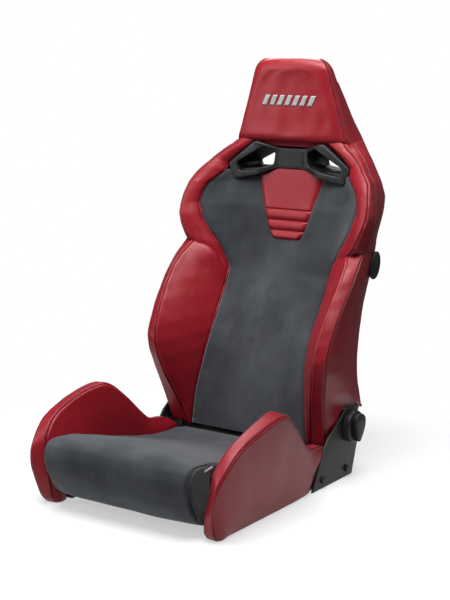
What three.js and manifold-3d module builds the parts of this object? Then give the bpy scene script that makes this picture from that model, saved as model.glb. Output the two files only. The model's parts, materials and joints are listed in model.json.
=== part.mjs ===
// A reclining sports seat: steel frame, foam pads in leather and suede, twin belt guides,
// round recliners with a side dial, and a shoulder lever on each side that lets the back fold forward.
// Millimetres, +Z up. The occupant faces -Y, and +X is the occupant's left.
import * as THREE from "three";
import { mergeVertices } from "three/addons/utils/BufferGeometryUtils.js";
import Module from "manifold-3d";

const wasm = await Module();
wasm.setup();

// ---------- driving dimensions ----------
const GAP = 0.4; // clearance between neighbours
const PIVOT_Y = 275; // recliner axis
const PIVOT_Z = 123;

const MEMBER_IN = 196; // base side members, box section
const MEMBER_OUT = 226;
const MEMBER_HIGH = 40;
const MEMBER_FRONT = -232;
const MEMBER_REAR = 284;
const MEMBER_WALL = 3;
const MOUNT_HOLE_Y = [-190, 150];
const MOUNT_X = 211;

const BRACKET_IN = 236; // outer plates that carry the recliners
const BRACKET_OUT = 241;
const BRACKET_CAP_R = 50;
const BRACKET_BOLTS = [[150, 20], [262, 20]]; // Y, Z
const BOLT_R = 4;

const RECLINER_R = 34;
const ROD_R = 6; // synchronising rod between the two recliners
const UPRIGHT_IN = 203; // side plates of the backrest frame
const UPRIGHT_OUT = 207;
const HOOP_R = 7;
const TUBE_R = 10;

const FOAM = 30; // thickness of the padding over the backrest frame
const SKIRT = 8; // how far the shell's rim stands forward of its back
const SHELL = 4;
const GUIDE_WALL = 4;

// ---------- materials ----------
const leather = new THREE.MeshStandardMaterial({ color: 0x8e1a24, roughness: 0.45, metalness: 0 });
const suede = new THREE.MeshStandardMaterial({ color: 0x3b3e41, roughness: 0.95, metalness: 0 });
const blackPlastic = new THREE.MeshStandardMaterial({ color: 0x17191a, roughness: 0.5, metalness: 0 });
const blackSteel = new THREE.MeshStandardMaterial({ color: 0x1d1f20, roughness: 0.4, metalness: 0.6 });
const blackCloth = new THREE.MeshStandardMaterial({ color: 0x101112, roughness: 0.9, metalness: 0 });
const zincSteel = new THREE.MeshStandardMaterial({ color: 0xa7a9a8, roughness: 0.35, metalness: 0.9 });
const springSteel = new THREE.MeshStandardMaterial({ color: 0x4a4c4e, roughness: 0.4, metalness: 0.9 });

// ---------- helpers ----------
const seat = new THREE.Group();
const point = (x, y, z) => new THREE.Vector3(x, y, z);

function add(name, geometry, material) {
  const mesh = new THREE.Mesh(geometry, material);
  mesh.name = name;
  seat.add(mesh);
  return mesh;
}

// Only positions, with shared vertices merged, and faces pointing out.
function clean(geometry) {
  const bare = new THREE.BufferGeometry();
  bare.setAttribute("position", geometry.getAttribute("position"));
  if (geometry.index) bare.setIndex(geometry.index);
  const merged = mergeVertices(bare, 1e-3);
  const p = merged.attributes.position;
  const index = merged.index.array;
  let volume = 0;
  const [a, b, c] = [point(), point(), point()];
  for (let i = 0; i < index.length; i += 3) {
    a.fromBufferAttribute(p, index[i]);
    b.fromBufferAttribute(p, index[i + 1]);
    c.fromBufferAttribute(p, index[i + 2]);
    volume += a.dot(b.cross(c));
  }
  if (volume < 0) {
    for (let i = 0; i < index.length; i += 3) [index[i + 1], index[i + 2]] = [index[i + 2], index[i + 1]];
  }
  return merged;
}

// The same piece for the other side of the seat.
function mirrored(geometry) {
  return clean(geometry.clone().scale(-1, 1, 1));
}

function addPair(name, geometry, material) {
  add(name + "_left", geometry, material);
  add(name + "_right", mirrored(geometry), material);
}

// A closed skin through rings of points, capped at both ends. flat(point) gives the two
// coordinates in which an end ring is a simple polygon.
function skin(rings, flat) {
  const n = rings[0].length;
  const positions = rings.flat().flatMap((q) => [q.x, q.y, q.z]);
  const index = [];
  for (let r = 0; r + 1 < rings.length; r++) {
    for (let i = 0; i < n; i++) {
      const [a, b] = [r * n + i, r * n + ((i + 1) % n)];
      index.push(a, b, b + n, a, b + n, a + n);
    }
  }
  const last = (rings.length - 1) * n;
  for (const [ring, start, turn] of [[rings[0], 0, true], [rings.at(-1), last, false]]) {
    const outline = ring.map((q) => new THREE.Vector2(...flat(q)));
    const anticlockwise = !THREE.ShapeUtils.isClockWise(outline);
    for (const [a, b, c] of THREE.ShapeUtils.triangulateShape(outline, [])) {
      const face = turn === anticlockwise ? [a, c, b] : [a, b, c];
      index.push(...face.map((k) => k + start));
    }
  }
  const geometry = new THREE.BufferGeometry();
  geometry.setAttribute("position", new THREE.Float32BufferAttribute(positions, 3));
  geometry.setIndex(index);
  return clean(geometry);
}

// Straight-line reading of a profile given as [position, value] pairs.
function along(profile, at) {
  if (at <= profile[0][0]) return profile[0][1];
  const next = profile.findIndex(([place]) => place >= at);
  if (next < 0) return profile.at(-1)[1];
  const [[a, from], [b, to]] = [profile[next - 1], profile[next]];
  return from + ((to - from) * (at - a)) / (b - a);
}

// A plate or block: an outline in the Y-Z plane from x0 to x1.
function sidePlate(shape, x0, x1, curveSegments = 6) {
  const geometry = new THREE.ExtrudeGeometry(shape, { depth: x1 - x0, bevelEnabled: false, curveSegments });
  // the shape's own X and Y become Y and Z, and its depth becomes X
  const m = new THREE.Matrix4().makeBasis(point(0, 1, 0), point(0, 0, 1), point(1, 0, 0));
  geometry.applyMatrix4(m.setPosition(x0, 0, 0));
  return clean(geometry);
}

// A block: an outline in the X-Z plane from y0 to y1.
function facePlate(shape, y0, y1, curveSegments = 6) {
  const geometry = new THREE.ExtrudeGeometry(shape, { depth: y1 - y0, bevelEnabled: false, curveSegments });
  const m = new THREE.Matrix4().makeBasis(point(1, 0, 0), point(0, 0, 1), point(0, -1, 0));
  geometry.applyMatrix4(m.setPosition(0, y1, 0));
  return clean(geometry);
}

// Outlines run anticlockwise, so that an extrusion turns their holes the right way.
function polygon(points) {
  const outline = points.map(([a, b]) => new THREE.Vector2(a, b));
  return new THREE.Shape(THREE.ShapeUtils.isClockWise(outline) ? outline.reverse() : outline);
}

// A shaft, disc or bolt along X: pairs of [x, radius], closed on the axis.
function turnedAlongX(profile, y, z, sides = 24) {
  const outline = profile.map(([x, r]) => new THREE.Vector2(r, x));
  const geometry = new THREE.LatheGeometry(outline, sides).rotateZ(-Math.PI / 2);
  return clean(geometry.translate(0, y, z));
}

function boxBetween([x0, y0, z0], [x1, y1, z1]) {
  const geometry = new THREE.BoxGeometry(x1 - x0, y1 - y0, z1 - z0);
  return clean(geometry.translate((x0 + x1) / 2, (y0 + y1) / 2, (z0 + z1) / 2));
}

// A round bar of radius r through points.
function bar(points, r, steps, sides = 8, tension = "centripetal") {
  const path = new THREE.CatmullRomCurve3(points, false, tension);
  const ring = new THREE.Shape(new THREE.EllipseCurve(0, 0, r, r).getPoints(sides).slice(0, sides));
  return clean(new THREE.ExtrudeGeometry(ring, { extrudePath: path, steps, bevelEnabled: false }));
}

function solid(geometry) {
  const g = clean(geometry);
  const triVerts = new Uint32Array(g.index.array);
  return new wasm.Manifold(new wasm.Mesh({ numProp: 3, vertProperties: g.attributes.position.array, triVerts }));
}

function geometryOf(body) {
  const m = body.getMesh();
  const g = new THREE.BufferGeometry();
  g.setAttribute("position", new THREE.Float32BufferAttribute(m.vertProperties, 3));
  g.setIndex([...m.triVerts]);
  return clean(g);
}

// Cuts pockets out of a body.
function cut(geometry, ...tools) {
  return geometryOf(tools.reduce((body, tool) => body.subtract(solid(tool)), solid(geometry)));
}

const inYZ = (q) => [q.y, q.z];
const inXY = (q) => [q.x, q.y];

// ---------- side profiles of the backrest: [height, value] ----------
const centreFront = [[84, 194], [200, 215], [300, 250], [400, 300], [473, 345], [544, 372], [602, 380], [705, 394]];
const rearFace = [
  [151, 368], [217, 342], [252, 335], [300, 339], [364, 350], [420, 368], [457, 387], [529, 417], [557, 424],
  [595, 443], [627, 464], [655, 471], [740, 470], [761, 482], [793, 494], [834, 476], [884, 459], [931, 440],
  [958, 427], [978, 407],
];
const rearHalfWidth = [
  [150, 222], [200, 228], [530, 230], [595, 230], [655, 227], [689, 216], [740, 190], [761, 170], [793, 146],
  [834, 132], [884, 118], [931, 105], [958, 95],
];
const uprightFront = [
  [150, 252], [200, 262], [260, 280], [320, 296], [380, 318], [440, 343], [500, 370], [560, 392], [640, 415],
];

// ---------- base ----------
function sideMember() {
  const outline = polygon([[MEMBER_IN, 0], [MEMBER_OUT, 0], [MEMBER_OUT, MEMBER_HIGH], [MEMBER_IN, MEMBER_HIGH]]);
  const [left, right] = [MEMBER_IN + MEMBER_WALL, MEMBER_OUT - MEMBER_WALL];
  const [low, high] = [MEMBER_WALL, MEMBER_HIGH - MEMBER_WALL];
  outline.holes.push(polygon([[left, low], [left, high], [right, high], [right, low]]));
  const tube = facePlate(outline, MEMBER_FRONT, MEMBER_REAR);
  const mountHoles = MOUNT_HOLE_Y.map((y) => new THREE.CylinderGeometry(4.5, 4.5, 9, 16)
    .rotateX(Math.PI / 2).translate(MOUNT_X, y, 0));
  const boltHoles = BRACKET_BOLTS.map(([y, z]) => turnedAlongX([[218, 0], [218, 4.5], [230, 4.5], [230, 0]], y, z, 16));
  return cut(tube, ...mountHoles, ...boltHoles);
}

// A hexagonal weld nut on the floor of the side member.
function mountNut(y) {
  const outline = new THREE.Shape(new THREE.EllipseCurve(0, 0, 7.5, 7.5).getPoints(6).slice(0, 6));
  outline.holes.push(new THREE.Path(new THREE.EllipseCurve(0, 0, 4, 4).getPoints(16).slice(0, 16)));
  const nut = new THREE.ExtrudeGeometry(outline, { depth: 6.5, bevelEnabled: false });
  return clean(nut.translate(MOUNT_X, y, MEMBER_WALL + GAP));
}

function crossTube(y, z, r, halfLength) {
  const wall = 2;
  const outline = new THREE.Shape(new THREE.EllipseCurve(y, z, r, r).getPoints(16).slice(0, 16));
  outline.holes.push(new THREE.Path(new THREE.EllipseCurve(y, z, r - wall, r - wall).getPoints(16).slice(0, 16)));
  return sidePlate(outline, -halfLength, halfLength);
}

// The pan is one folded sheet: a raised front, a long slope, and a lip at the back.
function seatPan() {
  const bend = [[-246, 22], [-240, 96], [-226, 104], [-60, 62], [60, 40], [178, 32.7], [186, 39]];
  const sheet = 2.5;
  const under = bend.map(([y, z], i) => [y + (i === 0 ? sheet : 0), i === 0 ? z : z - sheet]);
  under[1] = [-240 + sheet, 96 - sheet];
  return sidePlate(polygon([...bend, ...under.reverse()]), -193, 193);
}

// Nose to tail outline of the seat cushion, in Y and Z.
function cushionOutline(nose) {
  return [
    [-252, 14], [-285, 30], [nose + 22, 62], [nose + 4, 98], [nose, 126], [nose + 10, 152], [nose + 32, 163],
    [-240, 159], [-183, 147], [-65, 113], [49, 87], [110, 78], [170, 79], [190, 74], [191, 45],
  ];
}

function seatCushion() {
  const overPan = [[188, 42.5], [177.6, 34], [60, 40.8], [-60, 62.8], [-226, 105], [-241, 97], [-247, 22]];
  const noseAt = [[0, -335], [150, -333], [190, -326], [194, -318]];
  const dipAt = [[0, 5], [120, 4], [170, 0], [194, 6]]; // the sitting area is a little hollow
  const rings = [-194, -170, -120, 0, 120, 170, 194].map((x) => {
    const top = cushionOutline(along(noseAt, Math.abs(x)));
    const dip = along(dipAt, Math.abs(x));
    return [...top.map(([y, z], i) => point(x, y, i > 5 && i < 13 ? z - dip : z)), ...overPan.map(([y, z]) => point(x, y, z))];
  });
  return skin(rings, inYZ);
}

// Black cloth side of the cushion's nose, between the suede and the thigh bolster.
function cushionGusset() {
  const outline = [[-254, 20], [-284, 36], [-298, 64], [-314, 98], [-318, 124], [-308, 148], [-288, 156], [-254, 100]];
  return sidePlate(polygon(outline), 194 + GAP, 200);
}

function thighBolster() {
  const outerX = [
    [-308, 250], [-300, 256], [-280, 263], [-251, 267.5], [-163, 269.5], [-62, 271], [0, 262], [50, 248], [94, 238],
    [140, 234], [182, 231],
  ];
  const outerTop = [
    [-308, 105], [-300, 130], [-280, 155], [-251, 182], [-211, 199], [-163, 210], [-116, 222], [-62, 228], [-47, 230],
    [0, 193], [50, 145], [94, 109], [140, 103], [165, 95], [182, 83],
  ];
  const outerFoot = [[-308, 80], [-300, 57], [-286, 21], [-270, 1], [105, 1], [128, 42], [182, 73]];
  const outerFootX = [[-262, 239], [94, 239], [105, 235.4], [182, 232]]; // tucked behind the bracket at the rear
  const flankX = [[128, 239], [140, 234.5], [182, 231.5]];
  const innerX = [[-308, 240], [-300, 234], [-282, 227.5], [-248, 234], [-169, 236.6], [-81, 227.5], [0, 222], [94, 214], [182, 209]];
  const innerTop = [
    [-308, 103], [-300, 125], [-282, 148], [-248, 183], [-226, 198], [-169, 217], [-108, 229], [-81, 236], [-47, 236],
    [0, 197], [50, 147], [94, 110], [140, 103], [165, 95], [182, 83],
  ];
  const wallX = [[-308, 240], [-300, 232], [-282, 216], [-262, 202], [182, 201]]; // foot of the inner wall
  const stations = [-308, -300, -282, -266, -248, -211, -163, -116, -81, -47, 0, 50, 94, 105, 117, 128, 140, 165, 182];
  const rings = stations.map((y) => {
    const [foot, wall] = [along(outerFoot, y), along(wallX, y)];
    const shelf = Math.max(foot + 2, y < -262 ? foot : MEMBER_HIGH + 1);
    const inX = Math.max(MEMBER_OUT + 1, wall);
    const footX = Math.max(239, along(outerX, y) - 5);
    return [
      point(wall - 0.5, y, shelf + 1),
      point((wall + along(innerX, y)) / 2 - 4, y, (shelf + along(innerTop, y)) / 2),
      point(along(innerX, y), y, along(innerTop, y)),
      point(along(outerX, y), y, along(outerTop, y)),
      point(Math.max(along(flankX, y), along(outerX, y) - 10), y, (foot + along(outerTop, y)) / 2),
      point(y < -262 ? footX : along(outerFootX, y), y, foot),
      point(inX + 0.5, y, foot),
      point(inX, y, shelf),
    ];
  });
  return skin(rings, (q) => [q.x, q.z]);
}

function sideBracket() {
  const cap = new THREE.EllipseCurve(PIVOT_Y + 3, PIVOT_Z - 3, BRACKET_CAP_R, BRACKET_CAP_R, 2.15, -0.3, true);
  const outline = [new THREE.Vector2(290, 0), new THREE.Vector2(105, 0), new THREE.Vector2(154, 87)];
  const plate = sidePlate(new THREE.Shape([...outline, new THREE.Vector2(176, 113), ...cap.getPoints(20)]),
    BRACKET_IN, BRACKET_OUT);
  const hole = (y, z, r) => turnedAlongX([[230, 0], [230, r], [250, r], [250, 0]], y, z, 20);
  return cut(plate, hole(PIVOT_Y, PIVOT_Z, 7), ...BRACKET_BOLTS.map(([y, z]) => hole(y, z, 4.5)));
}

// A packing block that stands the outer plate off the side member.
function bracketSpacer() {
  const block = boxBetween([MEMBER_OUT + GAP, 130, 2], [BRACKET_IN - GAP, 282, 38]);
  const hole = (y, z) => turnedAlongX([[220, 0], [220, 4.5], [240, 4.5], [240, 0]], y, z, 16);
  return cut(block, ...BRACKET_BOLTS.map(([y, z]) => hole(y, z)));
}

function bracketBolt([y, z]) {
  const head = BRACKET_OUT + GAP;
  const profile = [[218, 0], [218, BOLT_R], [head, BOLT_R], [head, 8.5], [head + 4, 8.5], [head + 6, 6], [head + 6, 0]];
  return turnedAlongX(profile, y, z, 16);
}

// Half of the round gear recliner that is fixed to the outer plate.
function reclinerFixedHalf() {
  const [a, b] = [222, BRACKET_IN - GAP];
  const profile = [[a, 0], [a, RECLINER_R], [b - 5, RECLINER_R], [b - 4, RECLINER_R - 5], [b, RECLINER_R - 5], [b, 0]];
  return turnedAlongX(profile, PIVOT_Y, PIVOT_Z);
}

function hingeCover() {
  const [a, r] = [BRACKET_OUT + GAP, 30];
  return turnedAlongX([[a, 0], [a, r], [a + 7, r], [a + 10, r - 4], [a + 11, 0]], PIVOT_Y, PIVOT_Z, 32);
}

addPair("seat_side_member", sideMember(), blackSteel);
add("front_cross_tube", crossTube(-190, 17, 12, MEMBER_IN - GAP), blackSteel);
add("rear_cross_tube", crossTube(212, 17, 12, MEMBER_IN - GAP), blackSteel);
add("centre_strap", boxBetween([GAP - MEMBER_IN, -20, 0], [MEMBER_IN - GAP, 20, 4]), blackSteel);
add("seat_pan", seatPan(), blackSteel);
add("seat_cushion", seatCushion(), suede);
addPair("cushion_gusset", cushionGusset(), blackCloth);
addPair("thigh_bolster", thighBolster(), leather);
addPair("side_bracket", sideBracket(), blackSteel);
addPair("bracket_spacer", bracketSpacer(), blackSteel);
for (const [i, end] of ["front", "rear"].entries()) {
  addPair(`mount_nut_${end}`, mountNut(MOUNT_HOLE_Y[i]), zincSteel);
  addPair(`bracket_bolt_${end}`, bracketBolt(BRACKET_BOLTS[i]), blackSteel);
}
addPair("recliner_fixed_half", reclinerFixedHalf(), zincSteel);
add("hinge_cover_right", mirrored(hingeCover()), blackPlastic);

// ---------- recliners ----------
function reclinerDisc() {
  const [a, b] = [UPRIGHT_OUT + GAP, 222 - GAP];
  const profile = [[a, 0], [a, 22], [a + 4, 22], [a + 5, RECLINER_R], [b, RECLINER_R], [b, 0]];
  return turnedAlongX(profile, PIVOT_Y, PIVOT_Z);
}

addPair("recliner_disc", reclinerDisc(), zincSteel);
add("sync_rod", turnedAlongX([[-UPRIGHT_OUT, 0], [-UPRIGHT_OUT, ROD_R], [UPRIGHT_OUT, ROD_R], [UPRIGHT_OUT, 0]],
  PIVOT_Y, PIVOT_Z, 16), zincSteel);

// The dial: a round skirt with a raised grip across it, on a short shaft through the plate.
function dial() {
  const [back, face] = [BRACKET_OUT + 1.5, 262];
  const body = solid(turnedAlongX([
    [BRACKET_IN + GAP, 0], [BRACKET_IN + GAP, 6], [back, 6], [back, 38], [face - 4, 38], [face, 33], [face, 0],
  ], PIVOT_Y, PIVOT_Z, 40));
  const grip = new THREE.Shape();
  grip.absellipse(PIVOT_Y - 16, PIVOT_Z, 36, 36, -0.95, 0.95, false);
  grip.absellipse(PIVOT_Y + 16, PIVOT_Z, 36, 36, Math.PI - 0.95, Math.PI + 0.95, false);
  return geometryOf(body.add(solid(sidePlate(grip, face - 2, 273, 10))));
}

add("recline_dial", dial(), blackPlastic);

// ---------- backrest frame ----------
const UPRIGHT_DEEP = 22;

function upright() {
  const boss = new THREE.EllipseCurve(PIVOT_Y, PIVOT_Z, 30, 30, Math.PI * 0.8, Math.PI * 2.2);
  const front = uprightFront.map(([z, y]) => new THREE.Vector2(y, z)).reverse();
  const rear = uprightFront.map(([z, y]) => new THREE.Vector2(y + (z < 210 ? 46 : UPRIGHT_DEEP), z));
  const plate = sidePlate(new THREE.Shape([...boss.getPoints(16), ...rear, ...front]), UPRIGHT_IN, UPRIGHT_OUT);
  return cut(plate, turnedAlongX([[190, 0], [190, ROD_R + 2], [215, ROD_R + 2], [215, 0]], PIVOT_Y, PIVOT_Z, 20));
}

// The tube that carries the headrest rises from the uprights, passes outside the belt openings and arches over.
function hoop() {
  const x = UPRIGHT_IN - HOOP_R - 1;
  const side = [
    point(x, 402, 560), point(x, 424, 630), point(181, 440, 695), point(162, 441, 738), point(128, 446, 782),
    point(98, 442, 830), point(70, 432, 875), point(0, 431, 886),
  ];
  const otherSide = side.slice(0, -1).reverse().map((q) => point(-q.x, q.y, q.z));
  return bar([...side, ...otherSide], HOOP_R, 44);
}

// Sinuous wire between the uprights, behind the padding.
function backSpring(z) {
  const y = along(uprightFront, z) + 14;
  const reach = UPRIGHT_IN - 2.5;
  const bends = 8;
  const path = [];
  for (let i = 0; i <= bends; i++) path.push(point(reach * ((2 * i) / bends - 1), y, z + (i % 2 ? 11 : -11)));
  return bar(path, 1.8, 40, 6);
}

addPair("back_side_member", upright(), blackSteel);
add("back_hoop", hoop(), blackSteel);
add("back_cross_tube", crossTube(292, 186, TUBE_R, UPRIGHT_IN - GAP), blackSteel);
for (const [name, z] of [["lower", 240], ["middle", 318], ["upper", 395]]) {
  add(`back_spring_${name}`, backSpring(z), springSteel);
}

// ---------- belt guides ----------
const guideOutline = [[173, 722], [102, 781], [62, 771], [-62, 771], [-102, 781], [-173, 722], [-161, 680], [-71, 703],
  [71, 703], [161, 680]];
const beltOpening = [[66, 716], [143, 716], [131, 739], [101, 759], [62, 755]];

function grown(points, by) {
  const middle = points.reduce((m, [x, z]) => [m[0] + x / points.length, m[1] + z / points.length], [0, 0]);
  return points.map(([x, z]) => {
    const far = Math.hypot(x - middle[0], z - middle[1]);
    return [x + ((x - middle[0]) / far) * by, z + ((z - middle[1]) / far) * by];
  });
}

function openings(by = 0) {
  const left = grown(beltOpening, by);
  return [left, left.map(([x, z]) => [-x, z])];
}

function withHoles(points) {
  const shape = polygon(points);
  for (const hole of openings()) shape.holes.push(polygon(hole));
  return shape;
}

function frontGuide() {
  let body = solid(facePlate(withHoles(guideOutline), 377, 392));
  for (const [i, wall] of openings(GUIDE_WALL).entries()) {
    const tunnel = polygon(wall);
    tunnel.holes.push(polygon(openings()[i]));
    body = body.add(solid(facePlate(tunnel, 391, 455)));
  }
  return geometryOf(body);
}

const rearGuideOutline = [[150, 706], [139, 744], [104, 768], [-104, 768], [-139, 744], [-150, 706]];

function rearGuide() {
  return facePlate(withHoles(rearGuideOutline), 456, 476);
}

add("belt_guide_front", frontGuide(), blackPlastic);
add("belt_guide_rear", rearGuide(), blackPlastic);

// ---------- backrest padding ----------
// Each row of the side padding is: inner edge at the centre panel, inner seam, outer seam.
const bolsterRows = [
  [[170, 196, 84], [179, 200, 85], [223, 193, 92]],
  [[164, 199, 146], [190, 180, 140], [233, 173, 153]],
  [[157, 206, 190], [200, 161, 178], [235, 160, 193]],
  [[151, 216, 233], [209, 146, 217], [247, 148, 235]],
  [[145, 227, 276], [218, 133, 256], [252, 139, 275]],
  [[142, 246, 316], [224, 126, 296], [256, 136, 313]],
  [[142, 269, 354], [228, 133, 334], [257, 152, 348]],
  [[144, 294, 393], [231, 150, 370], [259, 172, 383]],
  [[145, 314, 422], [234, 171, 405], [260, 189, 408]],
  [[146, 328, 442], [237, 195, 440], [262, 223, 449]],
  [[147, 334, 455], [238, 220, 473], [261, 248, 476]],
  [[147, 336, 461], [233, 252, 502], [258, 277, 506]],
  [[147, 337, 465], [223, 286, 527], [254, 304, 530]],
];
const wingRows = [
  [[147, 337, 465], [223, 286, 527], [254, 304, 530]],
  [[168, 328, 511], [240, 279, 548], [258, 312, 548]],
  [[196, 316, 554], [255, 280, 575], [264, 320, 575]],
  [[215, 312, 585], [263, 283, 597], [268, 325, 600]],
  [[227, 317, 624], [266, 294, 618], [268, 335, 622]],
  [[223, 327, 649], [264, 304, 645], [262, 345, 648]],
  [[213, 337, 671], [257, 317, 672], [254, 358, 672]],
  [[196, 349, 686], [247, 335, 694], [243, 368, 694]],
  [[179, 364, 702], [228, 347, 714], [227, 378, 712]],
  [[174.5, 379, 722], [209, 362, 733], [212, 388, 733]],
  [[154, 386, 740], [188, 374, 751], [195, 398, 751]],
  [[127, 389, 762], [165, 383, 766], [176, 408, 766]],
  [[104, 389, 781], [148, 388, 782], [160, 420, 782]],
];

// The padding wraps the front and the outside of the upright, and leaves the recliner clear.
function sideRing([inner, seam, outer]) {
  const [a, b, c] = [point(...inner), point(...seam), point(...outer)];
  const besideRecliner = c.z < 170;
  const rear = besideRecliner ? PIVOT_Y - RECLINER_R - 5 : along(rearFace, c.z) - SKIRT - 3;
  const d = point(besideRecliner ? c.x : along(rearHalfWidth, c.z), rear, c.z);
  const liningX = Math.min(UPRIGHT_OUT + 1.5, d.x - 12);
  const liningY = besideRecliner ? rear - 4 : Math.min(along(uprightFront, c.z) - 3, a.y + FOAM + 45);
  return [
    a, b, c,
    point((c.x + d.x) / 2 + 3, (c.y + d.y) / 2, c.z),
    d,
    point(liningX, rear, c.z),
    point(liningX, liningY, c.z),
    point(a.x, Math.min(a.y + FOAM, liningY), a.z),
  ];
}

const sideBolster = skin(bolsterRows.map(sideRing), inXY);
const shoulderWing = skin(wingRows.map(sideRing).map((ring) => ring.map((q) => q.clone().add(point(0, 0, GAP)))), inXY);

// Half-width and front line of the centre panel's edge, from the rows above.
const edgeX = [...bolsterRows, ...wingRows.slice(1, 10)].map(([[x, , z]]) => [z, x]);
const edgeY = [...bolsterRows, ...wingRows.slice(1, 10)].map(([[, y, z]]) => [z, y]);

function backPanel() {
  const rings = [...edgeX.map(([z]) => z).filter((z) => z < 710), 710].map((z) => {
    const [half, side] = [along(edgeX, z) - GAP, along(edgeY, z)];
    const middle = along(centreFront, z);
    const front = [[-half, side], [-half * 0.6, middle], [0, middle], [half * 0.6, middle], [half, side]];
    const behind = [[half, side + FOAM], [0, middle + FOAM], [-half, side + FOAM]];
    return [...front, ...behind].map(([x, y]) => point(x, y, z));
  });
  return skin(rings, inXY);
}

const insertHalf = [[544, 44], [572, 57], [602, 67], [632, 77], [662, 87], [708, 98]];

function insertOutline(by) {
  const half = insertHalf.map(([z, x]) => [x + by, z]);
  const bottom = [[30 + by / 2, 538 - by], [-30 - by / 2, 538 - by]];
  return polygon([...half, ...half.map(([x, z]) => [-x, z]).reverse(), ...bottom.reverse()]);
}

const panel = backPanel();
const guideCut = facePlate(polygon(grown(guideOutline, 1)), 300, 500);
const insertBlank = facePlate(insertOutline(0), 300, 500);
const insert = geometryOf(solid(panel).intersect(solid(insertBlank)).subtract(solid(guideCut)));
const backPad = cut(panel, guideCut, facePlate(insertOutline(GAP), 300, 500));

// The headrest wraps the hoop at the front and sides, and is solid at the top.
function headrest() {
  const frontHalf = [[782, 147], [827, 136], [861, 127], [895, 116], [928, 108], [955, 97], [970, 84], [979, 60]];
  const rings = [782.8, 805, 834, 861, 895, 928, 938, 955, 970, 979].map((z) => {
    const half = along(frontHalf, z);
    const rear = along(rearFace, z) - (z < 945 ? SKIRT + GAP : 0);
    const rearHalf = Math.min(along(rearHalfWidth, z), half + 6);
    const top = z > 930;
    const lining = top ? rear - 1.5 : 418;
    const wall = top ? 30 : 12;
    const right = [[half - 12, 384], [half, 391], [rearHalf, rear], [rearHalf - wall, rear], [rearHalf - wall - 1, lining]];
    return [...right, ...right.map(([x, y]) => [-x, y]).reverse()].map(([x, y]) => point(x, Math.max(y, 384), z));
  });
  return skin(rings, inXY);
}

// One moulding closes the whole back, with the rear belt guide let into it.
function rearShell() {
  const heights = [151, 180, 217, 252, 300, 364, 420, 457, 529, 557, 595, 627, 655, 689, 740, 761, 793, 834, 884, 926];
  const rings = heights.map((z) => {
    const [half, rear] = [along(rearHalfWidth, z), along(rearFace, z)];
    const outer = [[half, rear - SKIRT], [half - 9, rear], [9 - half, rear], [-half, rear - SKIRT]];
    const inner = [[SHELL - half, rear - SKIRT], [11 - half, rear - SHELL], [half - 11, rear - SHELL], [half - SHELL, rear - SKIRT]];
    return [...outer, ...inner].map(([x, y]) => point(x, y, z));
  });
  return cut(skin(rings, inXY), facePlate(polygon(grown(rearGuideOutline, 1)), 440, 500));
}

const shell = rearShell();
add("back_pad", backPad, suede);
add("upper_insert", insert, leather);
addPair("side_bolster", sideBolster, leather);
addPair("shoulder_wing", shoulderWing, leather);
add("headrest_pad", headrest(), leather);
add("rear_shell", shell, blackPlastic);

// ---------- shoulder levers ----------
const LEVER_IN = 243;
const LEVER_PIVOT_Y = 368;
const LEVER_PIVOT_Z = 472;

// A boss that fills the space between the lever and the side of the backrest.
function leverHousing() {
  const outline = new THREE.Shape();
  outline.absellipse(373, 496, 18, 28, 0, Math.PI * 2, false, -0.3);
  const block = solid(sidePlate(outline, 225, LEVER_IN - GAP, 8));
  const around = [sideBolster, shell].map((g) => solid(g.clone().translate(GAP, 0, 0)));
  return geometryOf(block.subtract(around[0]).subtract(around[1]));
}

function lever() {
  const outline = new THREE.Shape();
  outline.absellipse(374, 497, 22, 34, 0, Math.PI * 2, false, -0.3);
  return sidePlate(outline, LEVER_IN, LEVER_IN + 9, 12);
}

addPair("tilt_lever", lever(), blackPlastic);
addPair("lever_housing", leverHousing(), blackPlastic);

// ---------- shell screws ----------
for (const [name, z] of [["lower", 235], ["upper", 611]]) {
  const y = along(rearFace, z);
  const lean = Math.atan(along(rearFace, z + 1) - y);
  const head = [[0, GAP], [6, GAP], [6, 1.5], [4, 3], [0, 3]].map(([r, h]) => new THREE.Vector2(r, h));
  addPair(`shell_screw_${name}`, clean(new THREE.LatheGeometry(head, 16).rotateX(-lean).translate(150, y, z)), blackPlastic);
}

export default seat;
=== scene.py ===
"""Looks for a reclining sports seat: padded leather and suede on a steel frame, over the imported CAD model.

Every length is in millimetres until a mesh is made, in the CAD model's own frame:
+Z up, the occupant faces -Y, +X is the occupant's left.
"""
import json
import math

import bmesh
import bpy
import numpy as np
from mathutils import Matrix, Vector
from mathutils.bvhtree import BVHTree


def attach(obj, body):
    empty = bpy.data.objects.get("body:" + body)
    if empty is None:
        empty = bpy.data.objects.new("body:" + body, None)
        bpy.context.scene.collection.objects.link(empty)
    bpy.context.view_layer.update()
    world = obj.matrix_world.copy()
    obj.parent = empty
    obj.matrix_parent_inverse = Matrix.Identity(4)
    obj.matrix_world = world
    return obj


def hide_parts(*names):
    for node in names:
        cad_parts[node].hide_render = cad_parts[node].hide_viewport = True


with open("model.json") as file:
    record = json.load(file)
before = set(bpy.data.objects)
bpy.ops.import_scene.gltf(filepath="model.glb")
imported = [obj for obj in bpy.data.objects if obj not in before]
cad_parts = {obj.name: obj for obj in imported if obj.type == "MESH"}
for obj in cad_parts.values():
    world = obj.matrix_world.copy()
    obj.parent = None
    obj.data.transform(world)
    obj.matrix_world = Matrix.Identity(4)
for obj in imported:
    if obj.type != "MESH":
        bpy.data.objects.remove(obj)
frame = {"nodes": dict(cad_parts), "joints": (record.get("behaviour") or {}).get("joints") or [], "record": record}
bpy.context.scene.view_settings.view_transform = "Standard"


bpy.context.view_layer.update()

MM = 0.001
FLOOR = 900  # radius of the round floor
AMBIENT = 0.12  # how much of the white surroundings lights the seat
rng = np.random.default_rng(7)

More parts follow.
